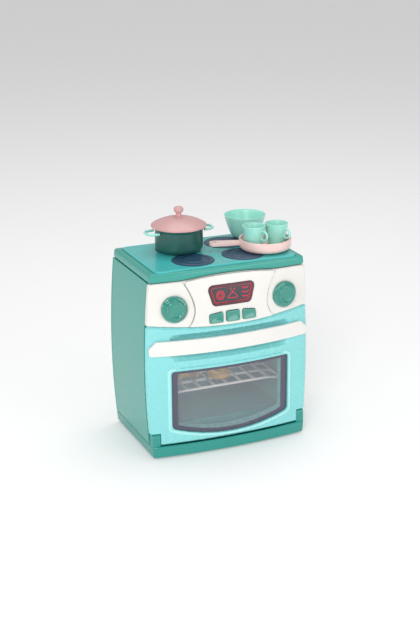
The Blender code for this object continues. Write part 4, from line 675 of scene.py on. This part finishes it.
class TOYOVEN_OT_body(Piece):
    """Body: side panels, deck, back, bezel, plinth and liner with rounded moulded edges."""

    bl_idname = "toy_oven.body"
    bl_label = "Body"

    def execute(self, context):
        body = plastic("moulded_abs_sea_green")
        for node in ("side_panel_left", "side_panel_right", "top_deck", "front_bezel"):
            moulded(node, body)
        moulded("back_cover", body, cutters=[recess(*place) for place in BACK_SCREWS])
        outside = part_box("battery_cover")[1].y / MM
        heights = [GRIP_LOWEST + GRIP_SPACING * k for k in range(GRIP_COUNT)]
        grooves = [block(*GRIP_GROOVE, (0, outside, height)) for height in heights]
        moulded("battery_cover", body, edge=0.25 * MM, cutters=[recess(*COVER_SCREW), *grooves])
        moulded("base_plinth", plastic("moulded_abs_plinth_green"))
        moulded("cavity_liner", plastic("moulded_abs_liner_green"))
        return {"FINISHED"}


def window_lip():
    """The bead round the window, rounded at its corners, its lower edge rising towards both ends."""
    half, top, low = WINDOW_HALF + LIP_GROW, WINDOW_TOP + LIP_GROW, WINDOW_BOTTOM - LIP_GROW
    reach = half - 1.2 * LIP_CORNER
    across = [reach * (2 * k / LIP_STEPS - 1) for k in range(LIP_STEPS + 1)]
    bottom = [(x, low + WINDOW_SMILE * (x / half) ** 2, 0) for x in across]
    side = low + WINDOW_SMILE
    outline = [(-half, side, LIP_CORNER), *bottom, (half, side, LIP_CORNER), (half, top, LIP_CORNER),
               (-half, top, LIP_CORNER)]
    places = [bowed(x, z, -LIP_SUNK, DOOR_LOW, DOOR_HIGH) for x, z in rounded(outline)]
    return smooth(swept(places, True, LIP_RADIUS, 6), 60)


class TOYOVEN_OT_door(Piece):
    """Door: frame, inner panel, smoked pane and handle."""

    bl_idname = "toy_oven.door"
    bl_label = "Door"

    def execute(self, context):
        door = plastic("moulded_abs_aqua")
        moulded("door_frame", door, edge=0.5 * MM, segments=3, degrees=45)
        moulded("door_inner_panel", door)
        # The window lip wears the lighter aqua, a painted highlight.
        settle(window_lip(), "window_lip", plastic("polished_abs_aqua"), "door", slot=SLOTS["door_frame"])
        moulded("door_window", smoked_pane(), edge=0.2 * MM)
        moulded("door_handle", plastic("moulded_abs_white"), edge=0.5 * MM, segments=3)
        return {"FINISHED"}


def button_cap(side):
    """A push button with rounded rim and dished face; an outer one slopes down to its side."""
    wide, deep, tall = BUTTON_SIZE
    cap = block(wide, deep, tall, (0, deep / 2, 0))
    for vertex in cap.data.vertices:
        if side * vertex.co.x > 0 and vertex.co.z > 0:
            vertex.co.z -= BUTTON_SLOPE * MM
    ends = [vertex.co.y for vertex in cap.data.vertices]
    choose(cap, "EDGE", lambda edge: abs(ends[edge.vertices[0]] - ends[edge.vertices[1]]) > 1 * MM)
    bpy.ops.mesh.bevel(offset=BUTTON_CORNER * MM, segments=6)
    bpy.ops.object.mode_set(mode="OBJECT")
    choose(cap, "FACE", lambda face: face.normal.y < -0.99)
    inset, proud = 0, 0
    for narrower, further in BUTTON_RINGS:
        bpy.ops.mesh.extrude_region_move(TRANSFORM_OT_translate={"value": (0, -further * MM, 0)})
        proud += further
        shares = [(size / 2 - inset - narrower) / (size / 2 - inset) for size in (wide, tall)]
        bpy.ops.transform.resize(value=(shares[0], 1, shares[1]), center_override=(0, -proud * MM, 0))
        inset += narrower
    bpy.ops.object.mode_set(mode="OBJECT")
    smooth(cap, 50)
    x, z = side * BUTTON_PLACE[0] * MM, BUTTON_PLACE[1] * MM
    turn, lean = panel_tilt(x, z)
    cap.rotation_euler = (-lean, 0, turn)
    cap.location = panel_face(x, z, BUTTON_PROUD * MM)
    return cap


def panel_seam(side):
    """A fine grey bead beside the panel's raised middle, which flares above and below its waist: painted shadow
    in the seam's gap.
    """
    places = []
    for k in range(SEAM_STEPS + 1):
        z = SEAM_LOW + SEAM_TALL * k / SEAM_STEPS
        wider, over = FLARE_UP if z > WAIST_HEIGHT else FLARE_DOWN
        flare = wider * (abs(z - WAIST_HEIGHT) / over) ** FLARE_POWER
        places.append(panel_face(side * (WAIST_HALF + SEAM_GAP + flare) * MM, z * MM, SEAM_PROUD * MM))
    return swept(places, False, SEAM_RADIUS * MM)


class TOYOVEN_OT_panel(Piece):
    """Control panel: fascia, raised middle, push buttons and display."""

    bl_idname = "toy_oven.panel"
    bl_label = "Control panel"

    def execute(self, context):
        ivory = plastic("moulded_abs_ivory")
        moulded("control_fascia", ivory)
        moulded("fascia_centre", ivory, edge=0.8 * MM, segments=4)
        for hand, side in (("left", -1), ("middle", 0), ("right", 1)):
            stand_in(button_cap(side), f"button_{hand}", plastic("moulded_abs_control_green"))
        # The grey bead stands in for the shade in the gap round the raised middle: painted shadow.
        seam = surround("moulded_abs_seam_grey", "8E8C88", 0.6, 0.5)
        settle(joined([panel_seam(side) for _, side in HANDS]), "panel_seams", seam, "shell",
               slot=SLOTS["control_fascia"])
        moulded("display_frame", plastic("moulded_abs_display_red"))
        pane = moulded_plastic("smoked_acrylic_display", linear("1D1928"), 0.2, cloud=0.1, depth=0.0,
                               skin=0.2)
        moulded("display_window", pane, edge=0.15 * MM)
        return {"FINISHED"}


class TOYOVEN_OT_display(Piece):
    """Display print: an edge line, a fan, a covered dish and heating coils, all generic."""

    bl_idname = "toy_oven.display"
    bl_label = "Display print"

    def execute(self, context):
        lines = [(rounded(DISPLAY_OUTLINE), True)]
        # A round fan with twelve teeth.
        across, up = FAN_MIDDLE
        lines.append((ring_points(across, up, 1.7), True))
        teeth = []
        for k in range(48):
            reach = 3.9 if k % 4 in (1, 2) else 2.9
            angle = math.radians(7.5 * k)
            teeth.append((across + reach * math.cos(angle), up + reach * math.sin(angle)))
        lines.append((teeth, True))
        # A dish under its cover, with a knob on top and two wisps of steam.
        lines.append((rounded(DISH_OUTLINE), True))
        lines.append((ring_points(0.8, 143.0, 0.5, 8), True))
        for x in (-0.7, 2.3):
            lines.append(([(x + 0.35 * math.sin(1.6 * k), 144.0 + 0.4 * k) for k in range(6)], False))
        # Three heating coils.
        for middle in COIL_HEIGHTS:
            coil = [(9.2 + 0.4 * k, middle + 0.75 * math.sin(0.95 * k)) for k in range(17)]
            lines.append((coil, False))
        pieces = []
        for points, closed in lines:
            places = [panel_face(x * MM, z * MM, PRINT_PROUD * MM) for x, z in points]
            pieces.append(swept(places, closed, sizes().stroke))
        # The ink is given a faint glow of its own red: painted light, with no lamp behind it.
        ink = printed_ink("screen_printed_red", colours().ink, 0.5)
        settle(joined(pieces), "display_print", ink, "shell", slot=SLOTS["display_frame"])
        return {"FINISHED"}


class TOYOVEN_OT_knobs(Piece):
    """Knobs: a round skirt with a raised grip, dished on top."""

    bl_idname = "toy_oven.knobs"
    bl_label = "Knobs"

    def execute(self, context):
        first = turned(KNOB_PROFILE)
        x, z = (c * MM for c in KNOB_PLACE)
        turn, lean = panel_tilt(x, z)
        for (hand, side), obj in zip(HANDS, (first, another(first))):
            obj.rotation_euler = (math.pi / 2 - lean, 0, side * turn)
            obj.location = (side * x, panel_face(x, z, 0)[1], z)
            stand_in(obj, f"knob_{hand}", plastic("moulded_abs_control_green"))
        return {"FINISHED"}


class TOYOVEN_OT_hob(Piece):
    """Hob: the plate and its four ringed burner discs."""

    bl_idname = "toy_oven.hob"
    bl_label = "Hob"

    def execute(self, context):
        moulded("hob_plate", plastic("moulded_abs_hob_aqua"))
        first = turned(BURNER_PROFILE)
        nodes = [f"burner_{row}_{hand}" for row in ("front", "back") for hand, _ in HANDS]
        for obj, node in zip([first] + [another(first) for _ in nodes[1:]], nodes):
            obj.location = foot_of(node)
            stand_in(obj, node, plastic("moulded_abs_burner_navy"))
        return {"FINISHED"}


def pot_ear(side, middle, height):
    """One of the pot's loops, a bead that leaves its wall and comes back."""
    places = []
    for k in range(EAR_STEPS + 1):
        angle = math.radians(-90 + 180 * k / EAR_STEPS)
        out = EAR_START + EAR_REACH * max(0, math.cos(angle)) ** EAR_POWER
        along = EAR_HALF * math.copysign(abs(math.sin(angle)) ** EAR_POWER, angle)
        places.append((middle.x + side * out * MM, middle.y + along * MM, height))
    return smooth(swept(places, False, EAR_RADIUS * MM, 6), 60)


class TOYOVEN_OT_pot(Piece):
    """Pot with its two loops and its domed lid."""

    bl_idname = "toy_oven.pot"
    bl_label = "Pot"

    def execute(self, context):
        middle = middle_of("pot")
        pot = turned(POT_PROFILE)
        pot.location = foot_of("pot")
        stand_in(pot, "pot", plastic("moulded_pp_bottle_green"))
        height = middle_of("pot_ear_right").z
        for hand, side in HANDS:
            stand_in(pot_ear(side, middle, height), f"pot_ear_{hand}", plastic("moulded_pp_mint"))
        dome = [(r, 1.4 + 7.1 * (1 - (r / 24) ** 2)) for r in LID_DOME_RADII]
        lid = turned(LID_UNDERSIDE + dome + LID_KNOB)
        lid.location = (middle.x, middle.y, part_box("pot_lid")[0].z + LID_RIM_DEPTH * MM)
        stand_in(lid, "pot_lid", plastic("moulded_pp_rose"))
        return {"FINISHED"}


class TOYOVEN_OT_pan(Piece):
    """Frying pan with its flat handle and hanging hole."""

    bl_idname = "toy_oven.pan"
    bl_label = "Frying pan"

    def execute(self, context):
        pan = turned(PAN_PROFILE)
        end, under, over, inside = PAN_HANDLE
        level = (under + over) / 2
        reach = PAN_REACH - end
        bar = drum(end, under, over, 48)
        bar.location.x = reach * MM
        fixed(bar)
        neck = block(reach - inside, PAN_NECK, over - under, ((inside + reach) / 2, 0, level))
        choose(neck, "VERT", lambda vertex: vertex.co.x < 30 * MM)
        bpy.ops.transform.resize(value=(1, PAN_NECK_TAPER, 1), center_override=(0, 0, level * MM))
        bpy.ops.object.mode_set(mode="OBJECT")
        combine(bar, neck, "UNION")
        hole = drum(PAN_HOLE, under - 1, over + 1, 48)
        hole.location.x = reach * MM
        combine(bar, hole, "DIFFERENCE")
        modify(bar, "BEVEL", width=0.7 * MM, segments=3, limit_method="ANGLE", angle_limit=math.radians(50))
        combine(pan, bar, "UNION")
        smooth(pan, 35)
        low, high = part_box("frying_pan")
        pan.rotation_euler = (0, 0, math.radians(PAN_TURN))
        pan.location = (high.x - PAN_RADIUS * MM, low.y + PAN_RADIUS * MM, low.z)
        stand_in(pan, "frying_pan", plastic("moulded_pp_blush"))
        return {"FINISHED"}


class TOYOVEN_OT_cups(Piece):
    """Two tapered cups with a ring handle."""

    bl_idname = "toy_oven.cups"
    bl_label = "Cups"

    def execute(self, context):
        cup = turned(CUP_OUTSIDE)
        bpy.ops.object.select_all(action="DESELECT")
        bpy.ops.mesh.primitive_torus_add(major_radius=4.0 * MM, minor_radius=1.0 * MM, major_segments=48,
                                         minor_segments=16, rotation=(math.pi / 2, 0, 0),
                                         location=[c * MM for c in CUP_LOOP])
        combine(cup, fixed(bpy.context.object), "UNION")
        combine(cup, turned(CUP_INSIDE), "DIFFERENCE")
        smooth(cup, 35)
        for (hand, _), obj in zip(HANDS, (cup, another(cup))):
            low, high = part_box(f"cup_{hand}")
            obj.rotation_euler = (0, 0, math.radians(CUP_TURN))
            obj.location = (low.x + CUP_RADIUS * MM, high.y - CUP_RADIUS * MM, low.z)
            stand_in(obj, f"cup_{hand}", plastic("moulded_pp_mint"))
        return {"FINISHED"}


def bowl_wall(height):
    """The bowl's outer radius at a height, in millimetres."""
    return 10 + 8.6 * (height / 20) ** 0.6


class TOYOVEN_OT_bowl(Piece):
    """Flared bowl."""

    bl_idname = "toy_oven.bowl"
    bl_label = "Bowl"

    def execute(self, context):
        heights = (0.4, 1, 2, 3.5, 5.5, 8, 11, 14, 17, 19.4)
        rings = [(2, 0), (9.5, 0), (10.2, 0.1)] + [(bowl_wall(h), h) for h in heights]
        rings += [(18.5, 19.8), (18.2, 20), (17.7, 20), (17.4, 19.8)]
        rings += [(bowl_wall(h) - BOWL_WALL, h) for h in reversed(heights[4:-1])]
        rings += [(11.6, 3.6), (10.4, 2.3), (9.0, 1.5), (7.5, 1.2), (2, 1.2)]
        bowl = turned(rings)
        bowl.location = foot_of("bowl")
        stand_in(bowl, "bowl", plastic("moulded_pp_mint"))
        return {"FINISHED"}


class TOYOVEN_OT_rack_and_food(Piece):
    """Oven rack, crescent roll and ring bun."""

    bl_idname = "toy_oven.rack_and_food"
    bl_label = "Rack and food"

    def execute(self, context):
        moulded("oven_rack", plastic("moulded_abs_white"), whole=False)
        crust = baked_crust(colours().crust)
        roll = copied("food_roll")
        modify(roll, "SUBSURF", levels=2, render_levels=2)
        stand_in(smooth(roll, 60), "food_roll", crust)
        low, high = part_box("food_ring")
        bpy.ops.object.select_all(action="DESELECT")
        bpy.ops.mesh.primitive_torus_add(major_radius=6.8 * MM, minor_radius=3.9 * MM, major_segments=72,
                                         minor_segments=28, location=(low + high) / 2)
        bun = bpy.context.object
        bun.scale = (1, 1, (high.z - low.z) / (7.85 * MM))
        stand_in(smooth(fixed(bun), 60), "food_ring", crust)
        return {"FINISHED"}


class TOYOVEN_OT_fittings(Piece):
    """Finishes of feet, pins, axles, lamp, speaker, switch, board and pad."""

    bl_idname = "toy_oven.fittings"
    bl_label = "Fittings"

    def execute(self, context):
        rubber = surround("moulded_rubber_grey", "3C3D40", 0.75, 0.6)
        steel = drawn_steel()
        nylon = moulded_plastic("moulded_nylon_white", linear("E9E7E0"), 0.4, skin=0.0)
        finishes = {
            "lamp_lens": clear_lens(),
            "speaker": surround("pressed_paper_black", "1C1C20", 0.7, 0.5),
            "circuit_board": surround("coated_fibreglass_green", "1F6B3A", 0.35, 2.5),
            "button_pad": surround("silicone_rubber_grey", "55565A", 0.6, 0.8),
            "hinge_pin_left": steel,
            "hinge_pin_right": steel,
            "knob_axle_left": nylon,
            "knob_axle_right": nylon,
        }
        for number in range(1, 5):
            finishes[f"foot_{number}"] = rubber
        for node, material in finishes.items():
            mesh = frame["nodes"][node].data
            mesh.materials.clear()
            mesh.materials.append(material)
        moulded("power_switch", surround("moulded_abs_black", "202226", 0.4, 0.8), edge=0.3 * MM)
        return {"FINISHED"}


class TOYOVEN_OT_screws(Piece):
    """Cross-head screws in the back and one in the battery cover."""

    bl_idname = "toy_oven.screws"
    bl_label = "Screws"

    def execute(self, context):
        radius = sizes().screw / MM
        profile = [(0.4, -0.3), (radius, -0.3), (radius, 0.0), (radius * 0.9, 0.18), (radius * 0.5, 0.3)]
        head = turned(profile + [(0.3, 0.32)], 32)
        for turn in (0, math.pi / 2):
            slot = block(radius * 1.2, 0.5, 0.6, (0, 0, 0.3))
            slot.rotation_euler = (0, 0, turn)
            combine(head, slot, "DIFFERENCE")
        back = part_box("back_cover")[1].y
        places = [*BACK_SCREWS, COVER_SCREW]
        copies = [head] + [another(head) for _ in places[1:]]
        for obj, (x, z) in zip(copies, places):
            obj.rotation_euler = (-math.pi / 2, 0, 0)
            obj.location = (x * MM, back - SCREW_SUNK * MM, z * MM)
            fixed(obj)
        settle(joined(copies), "back_screws", bpy.data.materials["drawn_steel"], "shell",
               slot=SLOTS["hinge_pin_left"])
        return {"FINISHED"}


LIGHTS = (  # name, place in metres, size in metres and power in watts
    ("key", (-0.8, -1.2, 1.0), 0.5, 9),
    ("fill", (0.7, -1.4, 0.35), 0.8, 4.4),
    ("top", (0.15, 0.25, 1.4), 1.0, 6.5),
    ("edge", (-1.1, -0.75, 0.35), 0.25, 2.2),
)
LIGHTS_AIM = (0, 0, 0.08)
FLOOR_SIZE = 60  # metres
CAMERA_PLACE = (-0.4274, -0.991, 0.4819)
CAMERA_TURN = (70.885, 0.263, -23.392)  # degrees
CAMERA_LENS = 74.77  # millimetres


class TOYOVEN_OT_studio(Piece):
    """Studio: pale floor, soft lights and the camera."""

    bl_idname = "toy_oven.studio"
    bl_label = "Studio"

    def execute(self, context):
        scene = context.scene
        bpy.ops.object.select_all(action="DESELECT")
        bpy.ops.mesh.primitive_plane_add(size=FLOOR_SIZE)
        floor = bpy.context.object
        floor.name = "studio_floor"
        board = new_material("painted_board_white", Roughness=0.7, Base_Color=(0.88, 0.88, 0.88, 1),
                             Emission_Color=(1, 1, 1, 1), Emission_Strength=0.16)[0]
        floor.data.materials.append(board)
        world = bpy.data.worlds.new("studio_world")
        world.use_nodes = True
        sky = world.node_tree.nodes["Background"]
        sky.inputs["Color"].default_value = (1, 1, 1, 1)
        sky.inputs["Strength"].default_value = 0.5
        scene.world = world
        for name, place, size, power in LIGHTS:
            bpy.ops.object.light_add(type="AREA", location=place)
            light = bpy.context.object
            light.name = f"studio_{name}_light"
            light.data.size = size
            light.data.energy = power
            direction = Vector(LIGHTS_AIM) - light.location
            light.rotation_euler = direction.to_track_quat("-Z", "Y").to_euler()
        turn = [math.radians(angle) for angle in CAMERA_TURN]
        bpy.ops.object.camera_add(location=CAMERA_PLACE, rotation=turn)
        camera = bpy.context.object
        camera.name = "studio_camera"
        camera.data.lens = CAMERA_LENS
        scene.camera = camera
        scene.view_settings.view_transform = "Standard"
        return {"FINISHED"}


class TOYOVEN_PT_panel(bpy.types.Panel):
    """Sizes, colours and pieces of the toy oven."""

    bl_idname = "TOYOVEN_PT_panel"
    bl_label = "Toy Oven"
    bl_space_type = "VIEW_3D"
    bl_region_type = "UI"
    bl_category = "Toy Oven"

    def draw(self, context):
        layout = self.layout
        for group in (context.scene.toy_oven_colours, context.scene.toy_oven_sizes):
            for name in group.__annotations__:
                layout.prop(group, name)
        for piece in PIECES:
            layout.operator(piece.bl_idname)


PIECES = (
    TOYOVEN_OT_studio,
    TOYOVEN_OT_body,
    TOYOVEN_OT_door,
    TOYOVEN_OT_panel,
    TOYOVEN_OT_display,
    TOYOVEN_OT_knobs,
    TOYOVEN_OT_hob,
    TOYOVEN_OT_pot,
    TOYOVEN_OT_pan,
    TOYOVEN_OT_cups,
    TOYOVEN_OT_bowl,
    TOYOVEN_OT_rack_and_food,
    TOYOVEN_OT_fittings,
    TOYOVEN_OT_screws,
)
CLASSES = (ToyOvenColours, ToyOvenSizes, *PIECES, TOYOVEN_PT_panel)


def register():
    for cls in CLASSES:
        bpy.utils.register_class(cls)
    bpy.types.Scene.toy_oven_colours = PointerProperty(type=ToyOvenColours)
    bpy.types.Scene.toy_oven_sizes = PointerProperty(type=ToyOvenSizes)


def unregister():
    del bpy.types.Scene.toy_oven_colours
    del bpy.types.Scene.toy_oven_sizes
    for cls in reversed(CLASSES):
        bpy.utils.unregister_class(cls)


def main():
    register()
    for piece in PIECES:
        group, name = piece.bl_idname.split(".")
        getattr(getattr(bpy.ops, group), name)()


if __name__ == "__main__":
    main()
